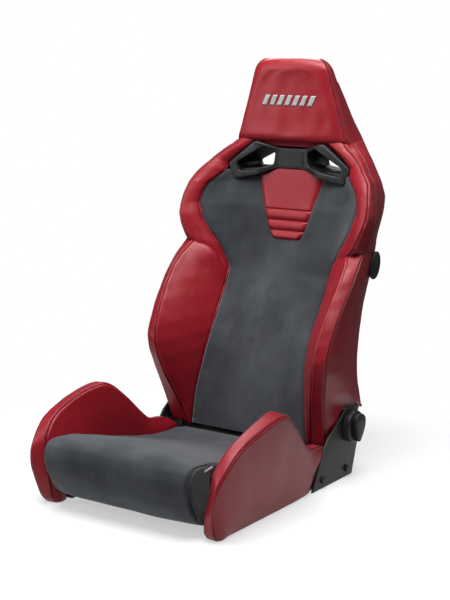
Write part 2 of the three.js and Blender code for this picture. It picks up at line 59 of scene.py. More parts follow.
# ------------------------------------------------------------------ driving sizes
PITCH = 5.5  # stitch spacing
STITCH = 3.9  # stitch length
SEAM_BEAD = 6  # length of one piece of the closed seam line
THREAD_R = 0.85
GROOVE = 4.0  # depth of a sewn seam
GROOVE_W = 1.6
SEAM_STEPS = [0, 0.8, 1.7, 3.0, 4.6, 7.5, 12]  # distances from a seam at which the surface is modelled

hinge = frame["joints"][0]["pos_m"]
PIVOT_Y = hinge[1] / MM
PIVOT_Z = hinge[2] / MM


# ------------------------------------------------------------------ materials
class Nodes:
    """Builds one procedural material: a principled shader and the nodes that feed it."""

    def __init__(self, name, **settings):
        self.material = bpy.data.materials.new(name)
        self.material.use_nodes = True
        self.tree = self.material.node_tree
        self.shader = self.tree.nodes["Principled BSDF"]
        for socket, value in settings.items():
            self.shader.inputs[socket.replace("_", " ")].default_value = value
        self.where = self.tree.nodes.new("ShaderNodeTexCoord").outputs["Object"]

    def add(self, kind, **values):
        node = self.tree.nodes.new("ShaderNode" + kind)
        for key, value in values.items():
            setattr(node, key, value)
        return node

    def link(self, a, b):
        self.tree.links.new(a, b)

    def noise(self, scale, detail=4, roughness=0.55, stretch=None):
        node = self.add("TexNoise")
        node.inputs["Scale"].default_value = scale
        node.inputs["Detail"].default_value = detail
        node.inputs["Roughness"].default_value = roughness
        self.link(self.stretched(stretch), node.inputs["Vector"])
        return node.outputs["Fac"]

    def cells(self, scale, feature="DISTANCE_TO_EDGE", stretch=None):
        node = self.add("TexVoronoi", feature=feature)
        node.inputs["Scale"].default_value = scale
        self.link(self.stretched(stretch), node.inputs["Vector"])
        return node.outputs["Distance"]

    def stretched(self, stretch):
        if stretch is None:
            return self.where
        node = self.add("Mapping")
        node.inputs["Scale"].default_value = stretch
        self.link(self.where, node.inputs["Vector"])
        return node.outputs["Vector"]

    def ramp(self, source, stops):
        node = self.add("ValToRGB")
        elements = node.color_ramp.elements
        while len(elements) < len(stops):
            elements.new(0.5)
        for element, (place, colour) in zip(elements, stops):
            element.position = place
            element.color = (*colour, 1) if len(colour) == 3 else colour
        self.link(source, node.inputs["Fac"])
        return node.outputs["Color"]

    def span(self, source, low, high, out_low, out_high):
        node = self.add("MapRange")
        for socket, value in zip(("From Min", "From Max", "To Min", "To Max"), (low, high, out_low, out_high)):
            node.inputs[socket].default_value = value
        self.link(source, node.inputs["Value"])
        return node.outputs["Result"]

    def blend(self, amount, one, other, mode="MIX"):
        node = self.add("Mix", data_type="RGBA", blend_type=mode)
        for socket, value in (("Factor", amount), ("A", one), ("B", other)):
            target = next(i for i in node.inputs if i.name == socket and i.enabled)
            if isinstance(value, (int, float, tuple)):
                target.default_value = (*value, 1) if isinstance(value, tuple) else value
            else:
                self.link(value, target)
        return next(o for o in node.outputs if o.enabled)

    def bump(self, *layers):
        """Each layer is (height, strength, depth in metres)."""
        normal = None
        for height, strength, depth in layers:
            node = self.add("Bump")
            node.inputs["Strength"].default_value = strength
            node.inputs["Distance"].default_value = depth
            self.link(height, node.inputs["Height"])
            if normal:
                self.link(normal, node.inputs["Normal"])
            normal = node.outputs["Normal"]
        self.link(normal, self.shader.inputs["Normal"])

    def feed(self, socket, source):
        self.link(source, self.shader.inputs[socket])


def leather():
    m = Nodes("red_leather", IOR=1.45, Specular_IOR_Level=0.34)
    m.shader.inputs["Specular Tint"].default_value = (1.0, 0.7, 0.7, 1)
    tone = m.noise(5, 3)
    fine = m.noise(70, 4)
    pores = m.cells(620)
    colour = m.ramp(tone, [(0.3, (0.132, 0.0035, 0.0075)), (0.7, (0.164, 0.0055, 0.011))])
    colour = m.blend(m.span(fine, 0.35, 0.65, 0, 0.12), colour, (0.225, 0.009, 0.016))
    colour = m.blend(m.span(pores, 0.0, 0.10, 0.30, 0), colour, (0.065, 0.0025, 0.005))
    m.feed("Base Color", colour)
    m.feed("Roughness", m.span(fine, 0.3, 0.7, 0.31, 0.41))
    grain = m.span(pores, 0.0, 0.25, 0, 1)
    m.bump((grain, 0.35, 0.00018), (m.noise(230, 3), 0.25, 0.0002), (m.noise(28, 3), 0.25, 0.0006))
    return m.material


def suede():
    m = Nodes("grey_suede", IOR=1.4, Sheen_Weight=0.3, Sheen_Roughness=0.45, Specular_IOR_Level=0.1)
    m.shader.inputs["Sheen Tint"].default_value = (0.62, 0.66, 0.72, 1)
    brushed = m.noise(7, 5, 0.6, stretch=(1, 0.7, 0.45))
    cloud = m.noise(16, 4, 0.6)
    nap = m.noise(900, 2, 0.7)
    colour = m.ramp(brushed, [(0.30, (0.012, 0.0135, 0.0155)), (0.52, (0.019, 0.021, 0.024)), (0.72, (0.038, 0.041, 0.045))])
    colour = m.blend(m.span(cloud, 0.42, 0.72, 0, 0.35), colour, (0.054, 0.057, 0.060))
    colour = m.blend(m.span(nap, 0.35, 0.7, 0, 0.4), colour, (0.015, 0.016, 0.0175))
    m.feed("Base Color", colour)
    m.feed("Roughness", m.span(cloud, 0.3, 0.7, 0.82, 0.97))
    m.bump((nap, 0.5, 0.0005), (m.noise(260, 3), 0.35, 0.0005), (m.noise(24, 3), 0.3, 0.0012))
    return m.material


def black_plastic():
    m = Nodes("moulded_plastic", IOR=1.48, Specular_IOR_Level=0.25)
    grain = m.cells(1500, "F1")
    m.feed("Base Color", m.ramp(m.noise(14, 3), [(0.3, (0.006, 0.0065, 0.007)), (0.7, (0.011, 0.0115, 0.012))]))
    m.feed("Roughness", m.span(m.noise(60, 4), 0.3, 0.7, 0.34, 0.48))
    m.bump((grain, 0.3, 0.0001), (m.noise(90, 2), 0.1, 0.0002))
    return m.material


def powder_coat(name, low, high):
    m = Nodes(name, Metallic=0.0, IOR=1.5, Specular_IOR_Level=0.3)
    m.feed("Base Color", m.ramp(m.noise(20, 4), [(0.3, low), (0.7, high)]))
    m.feed("Roughness", m.span(m.noise(120, 3), 0.3, 0.7, 0.40, 0.55))
    m.bump((m.noise(900, 2), 0.3, 0.0001))
    return m.material


def bare_metal(name, low, high, rough):
    m = Nodes(name, Metallic=1.0)
    m.feed("Base Color", m.ramp(m.noise(40, 4), [(0.3, low), (0.7, high)]))
    m.feed("Roughness", m.span(m.noise(200, 4), 0.3, 0.7, rough, rough + 0.15))
    m.bump((m.noise(700, 2), 0.15, 0.0001))
    return m.material


def black_cloth():
    m = Nodes("black_cloth", Sheen_Weight=0.2, Specular_IOR_Level=0.2)
    weave = m.add("TexWave", wave_type="BANDS", bands_direction="DIAGONAL")
    weave.inputs["Scale"].default_value = 420
    m.link(m.where, weave.inputs["Vector"])
    m.feed("Base Color", m.ramp(weave.outputs["Fac"], [(0.2, (0.006, 0.006, 0.007)), (0.8, (0.017, 0.017, 0.019))]))
    m.feed("Roughness", m.span(m.noise(80, 3), 0.3, 0.7, 0.8, 0.95))
    m.bump((weave.outputs["Fac"], 0.5, 0.0004))
    return m.material


def thread(name, low, high):
    m = Nodes(name, Sheen_Weight=0.2, Specular_IOR_Level=0.3)
    m.feed("Base Color", m.ramp(m.noise(400, 2), [(0.3, low), (0.7, high)]))
    m.feed("Roughness", m.span(m.noise(500, 2), 0.3, 0.7, 0.5, 0.7))
    m.bump((m.noise(1800, 2), 0.5, 0.0002))
    return m.material


def studio_floor():
    m = Nodes("studio_floor", Roughness=0.9, Specular_IOR_Level=0.1, Emission_Strength=0.5)
    m.shader.inputs["Emission Color"].default_value = (1.0, 1.0, 1.0, 1)
    m.feed("Base Color", m.ramp(m.noise(2, 2), [(0.3, (0.27, 0.27, 0.27)), (0.7, (0.29, 0.29, 0.29))]))
    return m.material


LEATHER = leather()
SUEDE = suede()
PLASTIC = black_plastic()
CLOTH = black_cloth()
FRAME_PAINT = powder_coat("frame_powder_coat", (0.012, 0.012, 0.013), (0.02, 0.02, 0.022))
BRACKET_PAINT = powder_coat("bracket_powder_coat", (0.007, 0.0075, 0.008), (0.012, 0.0125, 0.013))
ZINC = bare_metal("black_zinc_plate", (0.030, 0.030, 0.032), (0.055, 0.055, 0.057), 0.38)
WIRE = bare_metal("spring_wire", (0.14, 0.14, 0.15), (0.24, 0.24, 0.25), 0.3)
RED_THREAD = thread("dark_thread", (0.030, 0.004, 0.005), (0.060, 0.006, 0.009))
GREY_THREAD = thread("grey_thread", (0.16, 0.16, 0.16), (0.26, 0.26, 0.26))
LABEL = thread("woven_label", (0.45, 0.45, 0.45), (0.6, 0.6, 0.6))

SLOTS = {
    "red_leather": LEATHER, "suede": SUEDE, "black_cloth": CLOTH, "frame_steel": FRAME_PAINT,
    "bracket_paint": BRACKET_PAINT, "spring_wire": WIRE, "zinc_steel": ZINC, "black_plastic": PLASTIC,
}
for row in frame["record"]["subparts"]:
    carried = frame["nodes"][row["node"]]
    carried.data.materials.clear()
    carried.data.materials.append(SLOTS[row["material_slot"]])


# ------------------------------------------------------------------ meshes
def make(name, verts, faces, material, sharp=None):
    """verts in millimetres; sharp is the angle in degrees above which an edge stays crisp."""
    mesh = bpy.data.meshes.new(name)
    mesh.from_pydata([tuple(v) for v in np.asarray(verts, float) * MM], [], faces)
    bm = bmesh.new()
    bm.from_mesh(mesh)
    bmesh.ops.recalc_face_normals(bm, faces=bm.faces)
    bm.to_mesh(mesh)
    bm.free()
    mesh.polygons.foreach_set("use_smooth", [True] * len(mesh.polygons))
    if sharp:
        mesh.set_sharp_from_angle(angle=math.radians(sharp))
    piece = bpy.data.objects.new(name, mesh)
    bpy.context.collection.objects.link(piece)
    piece.data.materials.append(material)
    return piece


def settle(piece):
    """Applies every modifier on the piece."""
    shown = piece.evaluated_get(bpy.context.evaluated_depsgraph_get())
    mesh = bpy.data.meshes.new_from_object(shown)
    piece.modifiers.clear()
    piece.data = mesh
    return piece


def dress(piece, body, slot, *nodes, fill=None):
    """Where a piece rides, and the CAD parts that it stands for, which it hides."""
    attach(piece, body)
    if nodes:
        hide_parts(*nodes)
    return piece


def spline(control, t):
    """Cubic B-spline through the ends of the control points, read at t from 0 to 1."""
    control = np.asarray(control, float)
    padded = np.concatenate([control[:1]] * 2 + [control] + [control[-1:]] * 2)
    count = len(control) + 1
    u = np.clip(np.asarray(t, float) * count, 0, count)
    i = np.minimum(u.astype(int), count - 1)
    f = (u - i).reshape(-1, *[1] * (control.ndim - 1))
    weights = [(1 - f) ** 3, 3 * f**3 - 6 * f**2 + 4, -3 * f**3 + 3 * f**2 + 3 * f + 1, f**3]
    return sum(w * padded[i + k] for k, w in enumerate(weights)) / 6


def refine(rows, times=1):
    """Halves every step between rows, which keeps a spline closer to its corners."""
    rows = np.asarray(rows, float)
    for _ in range(times):
        out = [rows[0]]
        for before, after in zip(rows, rows[1:]):
            out += [(before + after) / 2, after]
        rows = np.array(out)
    return rows


def even(line, count):
    """Points at equal spacing along a dense line of points."""
    steps = np.linalg.norm(np.diff(line, axis=0), axis=1)
    run = np.concatenate([[0], np.cumsum(steps)])
    places = np.linspace(0, run[-1], count)
    return np.stack([np.interp(places, run, line[:, k]) for k in range(3)], axis=1)


def normals(grid, wrap):
    """Outward-or-inward unit normals of a grid of points, rows by columns; columns wrap when closed."""
    along = np.gradient(grid, axis=0)
    if wrap:
        across = (np.roll(grid, -1, axis=1) - np.roll(grid, 1, axis=1)) / 2
    else:
        across = np.gradient(grid, axis=1)
    n = np.cross(along, across)
    return n / np.maximum(np.linalg.norm(n, axis=2, keepdims=True), 1e-9)


def ripple(points, size, seed):
    """Smooth seeded unevenness, about -1 to 1, of the given size."""
    local = np.random.default_rng(seed)
    total = np.zeros(points.shape[:-1])
    for _ in range(10):
        way = local.normal(size=3)
        way /= np.linalg.norm(way)
        total += np.sin(points @ way * (2 * math.pi / size) * local.uniform(0.6, 1.6) + local.uniform(0, 6.3))
    return total / 4


def panel_steps(length, spacing):
    """Distances along a panel: close together by its two seams, even between them."""
    near = [s for s in SEAM_STEPS if s < length * 0.42]
    gap = length - 2 * near[-1]
    inner = np.linspace(near[-1], length - near[-1], max(2, round(gap / spacing) + 1))[1:-1]
    return np.concatenate([near, inner, [length - s for s in reversed(near)]]) / length


class Sewn:
    """A padded body sewn from panels: closed rings of points, strung along its length.

    rows: rings of control points. seams: the points of a ring where panels meet, in order.
    sewn: which of those are drawn in by thread. puff: how far each panel swells.
    """

    def __init__(self, rows, seams, sewn, puff, sections, spacing=8, round_off=5, ends=(True, True), crisp=1):
        rows = refine(rows, crisp)
        length = np.linalg.norm(np.diff(rows.mean(axis=1), axis=0), axis=1).sum()
        keep = round_off / length
        t = np.linspace(keep if ends[0] else 0, 1 - keep if ends[1] else 1, sections)
        rails = spline(rows, t)
        count = rails.shape[1]
        columns, self.side, self.place, self.near = [], [], [], []
        self.seam_column = {}
        for k, start in enumerate(seams):
            stop = seams[(k + 1) % len(seams)]
            chain = [i % count for i in range(start, stop + 1 if stop > start else stop + count + 1)]
            curves = spline(rails[:, chain].transpose(1, 0, 2), np.linspace(0, 1, 50)).transpose(1, 0, 2)
            steps = np.linalg.norm(np.diff(curves, axis=1), axis=2)
            run = np.concatenate([np.zeros((sections, 1)), np.cumsum(steps, axis=1)], axis=1)
            size = run[:, -1].mean()
            share = panel_steps(size, spacing)
            self.seam_column[start] = len(columns)
            for u in share[:-1]:
                spots = [[np.interp(u * r[-1], r, c[:, a]) for a in range(3)] for r, c in zip(run, curves)]
                columns.append(np.array(spots))
                self.side.append(k)
                self.place.append(u)
                self.near.append(self.seam_pull(u, size, start in sewn, stop in sewn))
        self.grid = np.stack(columns, axis=1)
        self.side, self.place = np.array(self.side), np.array(self.place)
        self.ends, self.round_off = ends, round_off
        self.inside_out = 1
        n = self.normals()
        if (n * (self.grid - self.grid.mean(axis=1, keepdims=True))).sum() < 0:
            self.inside_out = -1
        self.puffed = [k in puff and u > 0 for k, u in zip(self.side, self.place)]
        lift = np.array([puff.get(k, 0) for k in self.side]) * (1 - np.abs(2 * self.place - 1) ** 2.4)
        taper = np.minimum(1, np.sin(np.linspace(0.08, math.pi - 0.08, sections)) * 3) ** 0.7
        self.move(lift[None] * taper[:, None])

    @staticmethod
    def seam_pull(u, size, start_sewn, stop_sewn):
        pull = 0
        for sewn, away in ((start_sewn, u * size), (stop_sewn, (1 - u) * size)):
            if sewn:
                pull += -GROOVE * math.exp(-((away / GROOVE_W) ** 2)) + 0.6 * math.exp(-(((away - 5) / 3) ** 2))
        return pull

    def normals(self):
        return normals(self.grid, True) * self.inside_out

    def move(self, amount):
        """Moves the surface out by an amount for each point."""
        self.grid = self.grid + self.normals() * np.broadcast_to(amount, self.grid.shape[:2])[..., None]

    def draw_in(self):
        """Pulls the seams in."""
        self.move(np.array(self.near)[None])

    def wrinkle(self, depth, size, seed, reach=30):
        """Slight folds of the same depth all over the surface."""
        self.move(depth * ripple(self.grid, size, seed))

    def rings(self):
        grid = list(self.grid)
        for first in (True, False):
            if not self.ends[0 if first else 1]:
                continue
            edge, before = (grid[0], grid[1]) if first else (grid[-1], grid[-2])
            out = (edge - before).mean(axis=0)
            out /= np.linalg.norm(out)
            centre = edge.mean(axis=0)
            way = centre - edge
            way /= np.linalg.norm(way, axis=1, keepdims=True)
            extra = []
            for angle in np.radians([22, 45, 68, 90]):
                extra.append(edge + self.round_off * (way * (1 - math.cos(angle)) + out * math.sin(angle)))
            grid = extra[::-1] + grid if first else grid + extra
        return np.array(grid)

    def mesh(self, name, material):
        rings = self.rings()
        rows, columns = rings.shape[:2]
        faces = []
        for r in range(rows - 1):
            for c in range(columns):
                d = (c + 1) % columns
                faces.append((r * columns + c, r * columns + d, (r + 1) * columns + d, (r + 1) * columns + c))
        faces.append(tuple(range(columns)))
        faces.append(tuple(range((rows - 1) * columns, rows * columns)))
        return make(name, rings.reshape(-1, 3), faces, material)

    def seam_lines(self, seam, offsets=(4.6,), both=True, span=(0, 1)):
        """Lines of points on the surface beside a seam, with their normals, for stitching."""
        n = self.normals()
        home = self.seam_column[seam]
        total = self.grid.shape[1]
        lines = []
        for offset in offsets:
            for step in (1, -1) if both else (1,):
                c = home + step * SEAM_STEPS.index(offset)
                lo, hi = (int(s * (len(self.grid) - 1)) for s in span)
                lines.append((self.grid[lo : hi + 1, c % total], n[lo : hi + 1, c % total]))
        return lines

    def mirrored(self):
        other = Sewn.__new__(Sewn)
        other.__dict__ = dict(self.__dict__)
        other.grid = self.grid * np.array([-1, 1, 1])
        other.inside_out = -self.inside_out
        return other


def inflate(sewn, pressure, cap, frames=14):
    """Blows the padding up against its seams as cloth, and keeps the swell that it settles to.

    The seams and everything behind the last seam that shows are held still.
    """
    rows, columns = sewn.grid.shape[:2]
    faces = []
    for r in range(rows - 1):
        for c in range(columns):
            d = (c + 1) % columns
            faces.append((r * columns + c, r * columns + d, (r + 1) * columns + d, (r + 1) * columns + c))
    faces += [tuple(range(columns)), tuple(range((rows - 1) * columns, rows * columns))]
    piece = make("cloth", sewn.grid.reshape(-1, 3), faces, LEATHER)
    free = np.array([bool(p) for p in sewn.puffed])[None] & np.ones((rows, 1), bool)
    free[:2] = free[-2:] = False
    pins = piece.vertex_groups.new(name="pins")
    pins.add([int(i) for i in np.flatnonzero(~free.ravel())], 1.0, "REPLACE")
    cloth = piece.modifiers.new("cloth", "CLOTH")
    cloth.settings.vertex_group_mass = "pins"
    cloth.settings.quality = 4
    cloth.settings.mass = 0.4
    cloth.settings.tension_stiffness = 25
    cloth.settings.compression_stiffness = 25
    cloth.settings.bending_stiffness = 2
    cloth.settings.use_pressure = True
    cloth.settings.uniform_pressure_force = pressure
    cloth.settings.effector_weights.gravity = 0
    cloth.collision_settings.use_collision = False
    scene = bpy.context.scene
    scene.frame_start, scene.frame_end = 1, frames
    for number in range(1, frames + 1):
        scene.frame_set(number)
    shown = piece.evaluated_get(bpy.context.evaluated_depsgraph_get())
    flat = np.empty(rows * columns * 3)
    shown.data.vertices.foreach_get("co", flat)
    moved = flat.reshape(rows, columns, 3) / MM - sewn.grid
    far = np.linalg.norm(moved, axis=2, keepdims=True)
    moved *= cap * np.tanh(far / cap) / np.maximum(far, 1e-9)
    sewn.grid = sewn.grid + moved
    bpy.data.objects.remove(piece)
    scene.frame_set(1)


def cord(name, path, radius, material, count):
    """A round bead along a path, with rounded ends."""
    line = spline(refine(path), np.linspace(0, 1, count))
    along = np.gradient(line, axis=0)
    along /= np.linalg.norm(along, axis=1, keepdims=True)
    side = np.cross(along, (1.0, 0, 0))
    side /= np.maximum(np.linalg.norm(side, axis=1, keepdims=True), 1e-9)
    up = np.cross(side, along)
    stations = [(0, 0.15, -0.9), (0, 0.7, -0.6)] + [(k, 1, 0) for k in range(count)]
    stations += [(count - 1, 0.7, 0.6), (count - 1, 0.15, 0.9)]
    verts, faces, sides = [], [], 14
    for k, size, push in stations:
        for t in np.linspace(0, 2 * math.pi, sides, endpoint=False):
            spoke = side[k] * math.cos(t) + up[k] * math.sin(t)
            verts.append(line[k] + along[k] * push * radius + spoke * radius * size)
    for k in range(len(stations) - 1):
        for t in range(sides):
            a, b = k * sides + t, k * sides + (t + 1) % sides
            faces.append((a, b, b + sides, a + sides))
    faces += [tuple(range(sides)), tuple(range(len(verts) - sides, len(verts)))]
    return make(name, verts, faces, material)


def stitches(name, lines, material, radius=THREAD_R, pitch=PITCH, length=STITCH):
    """A row of thread stitches along each line: short rounded bars that lie on the surface."""
    sides = 6
    verts, faces = [], []
    for points, ups in lines:
        total = np.linalg.norm(np.diff(points, axis=0), axis=1).sum()
        count = max(2, int(total / pitch))
        both = np.concatenate([points, ups], axis=1)
        steps = np.concatenate([[0], np.cumsum(np.linalg.norm(np.diff(points, axis=0), axis=1))])
        centres = np.linspace(pitch / 2, total - pitch / 2, count)
        read = lambda s: np.array([np.interp(s, steps, both[:, k]) for k in range(6)])
        for s in centres:
            a, b = read(s - length / 2), read(s + length / 2)
            up = read(s)[3:]
            up /= max(np.linalg.norm(up), 1e-9)
            way = b[:3] - a[:3]
            way /= max(np.linalg.norm(way), 1e-9)
            across = np.cross(way, up)
            up = np.cross(across, way)
            base = len(verts)
            for place, size, lift in ((0, 0.35, -0.3), (0.2, 1, 0.25), (0.8, 1, 0.25), (1, 0.35, -0.3)):
                middle = a[:3] + (b[:3] - a[:3]) * place + up * lift
                for k in range(sides):
                    turn = 2 * math.pi * k / sides
                    verts.append(middle + radius * size * (across * math.cos(turn) + up * math.sin(turn)))
            for ring in range(3):
                for k in range(sides):
                    p, q = base + ring * sides + k, base + ring * sides + (k + 1) % sides
                    faces.append((p, q, q + sides, p + sides))
            faces.append(tuple(base + k for k in range(sides)))
            faces.append(tuple(base + 3 * sides + k for k in range(sides)))
    return make(name, verts, faces, material)


def rounded(points, radius, steps=5):
    """A polygon with its corners turned into arcs of about the given radius."""
    points = [Vector(p) for p in points]
    out = []
    for i, corner in enumerate(points):
        a, b = points[i - 1] - corner, points[(i + 1) % len(points)] - corner
        cut = min(radius, a.length * 0.45, b.length * 0.45)
        start, end = corner + a.normalized() * cut, corner + b.normalized() * cut
        for k in range(steps + 1):
            t = k / steps
            out.append((1 - t) ** 2 * start + 2 * t * (1 - t) * corner + t**2 * end)
    return [tuple(p) for p in out]


def moulding(name, outlines, low, high, material, bevel=1.2, plane="XZ"):
    """A flat piece from an outline and its holes, with rounded edges, between two depths.

    plane XZ: the outline is X, Z and the depth is along Y. plane YZ: Y, Z and depth along X.
    """
    curve = bpy.data.curves.new(name, "CURVE")
    curve.dimensions = "2D"
    curve.fill_mode = "BOTH"
    curve.extrude = ((high - low) / 2 - bevel) * MM
    curve.bevel_depth = bevel * MM
    curve.resolution_u = 1
    curve.bevel_resolution = 3
    curve.offset = -bevel * MM
    for outline in outlines:
        line = curve.splines.new("POLY")
        line.points.add(len(outline) - 1)
        for p, (a, b) in zip(line.points, outline):
            p.co = (a * MM, b * MM, 0, 1)
        line.use_cyclic_u = True
    stand = bpy.data.objects.new(name + "_curve", curve)
    bpy.context.collection.objects.link(stand)
    mesh = bpy.data.meshes.new_from_object(stand.evaluated_get(bpy.context.evaluated_depsgraph_get()))
    bpy.data.objects.remove(stand)
    middle = (low + high) / 2
    flat = np.empty(len(mesh.vertices) * 3)
    mesh.vertices.foreach_get("co", flat)
    flat = flat.reshape(-1, 3) / MM
    a, b, depth = flat[:, 0], flat[:, 1], flat[:, 2] + middle
    spots = np.stack([a, depth, b] if plane == "XZ" else [depth, a, b], axis=1)
    faces = [tuple(p.vertices) for p in mesh.polygons]
    piece = make(name, spots, faces, material, sharp=35)
    weld(piece)
    return piece


def weld(piece, distance=0.01):
    bm = bmesh.new()
    bm.from_mesh(piece.data)
    bmesh.ops.remove_doubles(bm, verts=bm.verts, dist=distance * MM)
    bmesh.ops.recalc_face_normals(bm, faces=bm.faces)
    bm.to_mesh(piece.data)
    bm.free()


def turned(name, profile, y, z, material, sides=64, sharp=35):
    """A round piece about an axis along X, from pairs of X and radius that start and end on the axis."""
    verts, faces = [], []
    for x, r in profile:
        for k in range(sides):
            a = 2 * math.pi * k / sides
            verts.append((x, y + r * math.cos(a), z + r * math.sin(a)))
    for i in range(len(profile) - 1):
        for k in range(sides):
            p, q = i * sides + k, i * sides + (k + 1) % sides
            faces.append((p, q, q + sides, p + sides))
    piece = make(name, verts, faces, material, sharp=sharp)
    weld(piece)
    return piece


def flip(piece, name):
    """The same piece for the other side of the seat."""
    mesh = piece.data.copy()
    mesh.name = name
    flat = np.empty(len(mesh.vertices) * 3)
    mesh.vertices.foreach_get("co", flat)
    flat[0::3] *= -1
    mesh.vertices.foreach_set("co", flat)
    mesh.flip_normals()
    other = bpy.data.objects.new(name, mesh)
    bpy.context.collection.objects.link(other)
    return other


# ------------------------------------------------------------------ camera and studio
def studio():
    data = bpy.data.cameras.new("camera")
    data.sensor_width = 36
    data.sensor_fit = "AUTO"
    data.lens = 86.33
    camera = bpy.data.objects.new("camera", data)
    bpy.context.collection.objects.link(camera)
    camera.location = (1.8539, -2.6375, 1.0661)
    camera.rotation_euler = Vector((-0.5505, 0.8132, -0.1891)).to_track_quat("-Z", "Y").to_euler()
    bpy.context.scene.camera = camera

    turn = np.linspace(0, 2 * math.pi, 96, endpoint=False)
    rim = [(FLOOR * math.cos(a), FLOOR * math.sin(a), -1) for a in turn]
    floor = make("floor", rim, [tuple(range(96))], studio_floor())

    world = bpy.data.worlds.new("studio")
    world.use_nodes = True
    tree = world.node_tree
    soft = tree.nodes["Background"]
    soft.inputs["Color"].default_value = (1.0, 1.0, 1.0, 1)
    soft.inputs["Strength"].default_value = AMBIENT
    white = tree.nodes.new("ShaderNodeBackground")
    white.inputs["Color"].default_value = (1.0, 1.0, 1.0, 1)
    rays = tree.nodes.new("ShaderNodeLightPath")
    mix = tree.nodes.new("ShaderNodeMixShader")
    tree.links.new(rays.outputs["Is Camera Ray"], mix.inputs[0])
    tree.links.new(soft.outputs[0], mix.inputs[1])
    tree.links.new(white.outputs[0], mix.inputs[2])
    tree.links.new(mix.outputs[0], tree.nodes["World Output"].inputs["Surface"])
    bpy.context.scene.world = world

    def area(name, place, aim, size, power):
        light = bpy.data.lights.new(name, "AREA")
        light.shape = "RECTANGLE"
        light.size, light.size_y = size
        light.energy = power
        stand = bpy.data.objects.new(name, light)
        bpy.context.collection.objects.link(stand)
        stand.location = place
        stand.rotation_euler = (Vector(aim) - Vector(place)).to_track_quat("-Z", "Y").to_euler()

    area("overhead", (0.15, -0.45, 2.45), (0, 0.1, 0.3), (2.0, 1.6), 155)
    area("top_rear", (-0.7, 1.5, 2.2), (0, 0.2, 0.5), (1.4, 0.8), 42)
    area("front_left", (-2.2, -2.1, 1.5), (0, 0.1, 0.5), (0.9, 1.8), 58)
    area("rear_right", (1.9, 1.9, 1.4), (0, 0.3, 0.5), (0.5, 1.6), 7)


studio()

# ------------------------------------------------------------------ side bolsters and shoulder wings
# Rows run from the bottom up. Each is: inner edge, inner seam, outer seam, all as X, Y, Z.
JUNCTION = [(145, 318, 432), (158, 314, 478), (183, 302, 512), (223, 286, 528), (254, 304, 532)]
BOLSTER = [
    [(170, 196, 84), (179, 200, 85), (223, 193, 92)],
    [(165, 198, 125), (185, 189, 118), (229, 182, 128)],
    [(161, 202, 168), (194, 172, 158), (233, 167, 172)],
    [(155, 210, 210), (204, 153, 196), (239, 154, 213)],
    [(151, 216, 233), (209, 146, 217), (244, 148, 235)],
    [(145, 227, 276), (218, 133, 256), (252, 139, 275)],
    [(142, 246, 316), (224, 126, 296), (256, 136, 313)],
    [(142, 269, 354), (228, 133, 334), (257, 152, 348)],
    [(144, 292, 389), (231, 150, 370), (259, 172, 383)],
    [(144, 301, 401), (234, 171, 405), (260, 189, 408)],
    [(144.3, 307, 411), (237, 195, 440), (262, 223, 449)],
    [(144.6, 312, 419), (238, 220, 473), (261, 248, 476)],
    [(144.8, 315, 426), (233, 252, 502), (258, 277, 506)],
    JUNCTION,
]
# As above, with the two seams of the wing in place of the bolster's.
WING = [
    JUNCTION,
    [(147, 336, 462), (235, 281, 539), (257, 308, 541)],
    [(168, 328, 511), (242, 279, 550), (259, 313, 552)],
    [(196, 316, 554), (255, 280, 575), (264, 320, 575)],
    [(215, 312, 585), (263, 283, 597), (268, 325, 600)],
    [(227, 317, 624), (266, 294, 618), (268, 335, 622)],
    [(223, 327, 649), (264, 304, 645), (262, 345, 648)],
    [(213, 337, 671), (257, 317, 672), (254, 358, 672)],
    [(196, 349, 686), (247, 335, 694), (243, 368, 694)],
    [(179, 364, 702), (228, 347, 714), (227, 378, 712)],
    [(174.5, 379, 722), (209, 362, 733), (212, 388, 733)],
    [(154, 386, 740), (188, 374, 751), (195, 398, 751)],
    [(127, 389, 762), (165, 383, 766), (176, 408, 766)],
    [(104, 389, 781), (148, 388, 782), (160, 420, 782)],
]
REAR_FACE = [(151, 368), (217, 342), (252, 335), (300, 339), (364, 350), (420, 368), (457, 387), (529, 417),
             (557, 424), (595, 443), (627, 464), (655, 471), (740, 470), (761, 482), (793, 494), (834, 476),
             (884, 459), (931, 440), (958, 427), (978, 407)]
REAR_HALF = [(150, 227), (200, 230), (530, 231), (595, 230), (655, 227), (689, 216), (740, 190), (761, 170),
             (793, 146), (834, 132), (884, 118), (931, 105), (958, 95)]
UPRIGHT = [(150, 252), (200, 262), (260, 280), (320, 296), (380, 318), (440, 343), (500, 370), (560, 392), (640, 415)]
FOAM = 30
RIM = 11  # how far the leather's rear edge stays ahead of the shell's back
RECLINER_CLEAR = 39


def read(profile, at):
    return float(np.interp(at, [p[0] for p in profile], [p[1] for p in profile]))


def side_ring(row):
    """Carries a row round the outside, the rear and the lining of the padding."""
    a, b, c = row[0], row[-2], row[-1]
    across = row[1:3] if len(row) == 5 else [tuple(a[k] + (b[k] - a[k]) * u for k in range(3)) for u in (0.33, 0.67)]
    height = max(c[2], REAR_FACE[0][0])
    rear = read(REAR_FACE, height) - RIM
    d = (min(c[0], read(REAR_HALF, height)) if c[2] < 200 else read(REAR_HALF, height), rear, c[2])
    lining_x = min(208.5, d[0] - 12)
    lining_y = min(read(UPRIGHT, height) - 3, a[1] + FOAM + 45)
    return [
        a, *across, b, c,
        ((c[0] + d[0]) / 2 + 3, (c[1] + d[1]) / 2, c[2]),
        d,
        (lining_x, rear, c[2]),
        (lining_x, lining_y, c[2]),
        (a[0], min(a[1] + FOAM, lining_y), a[2]),
    ]


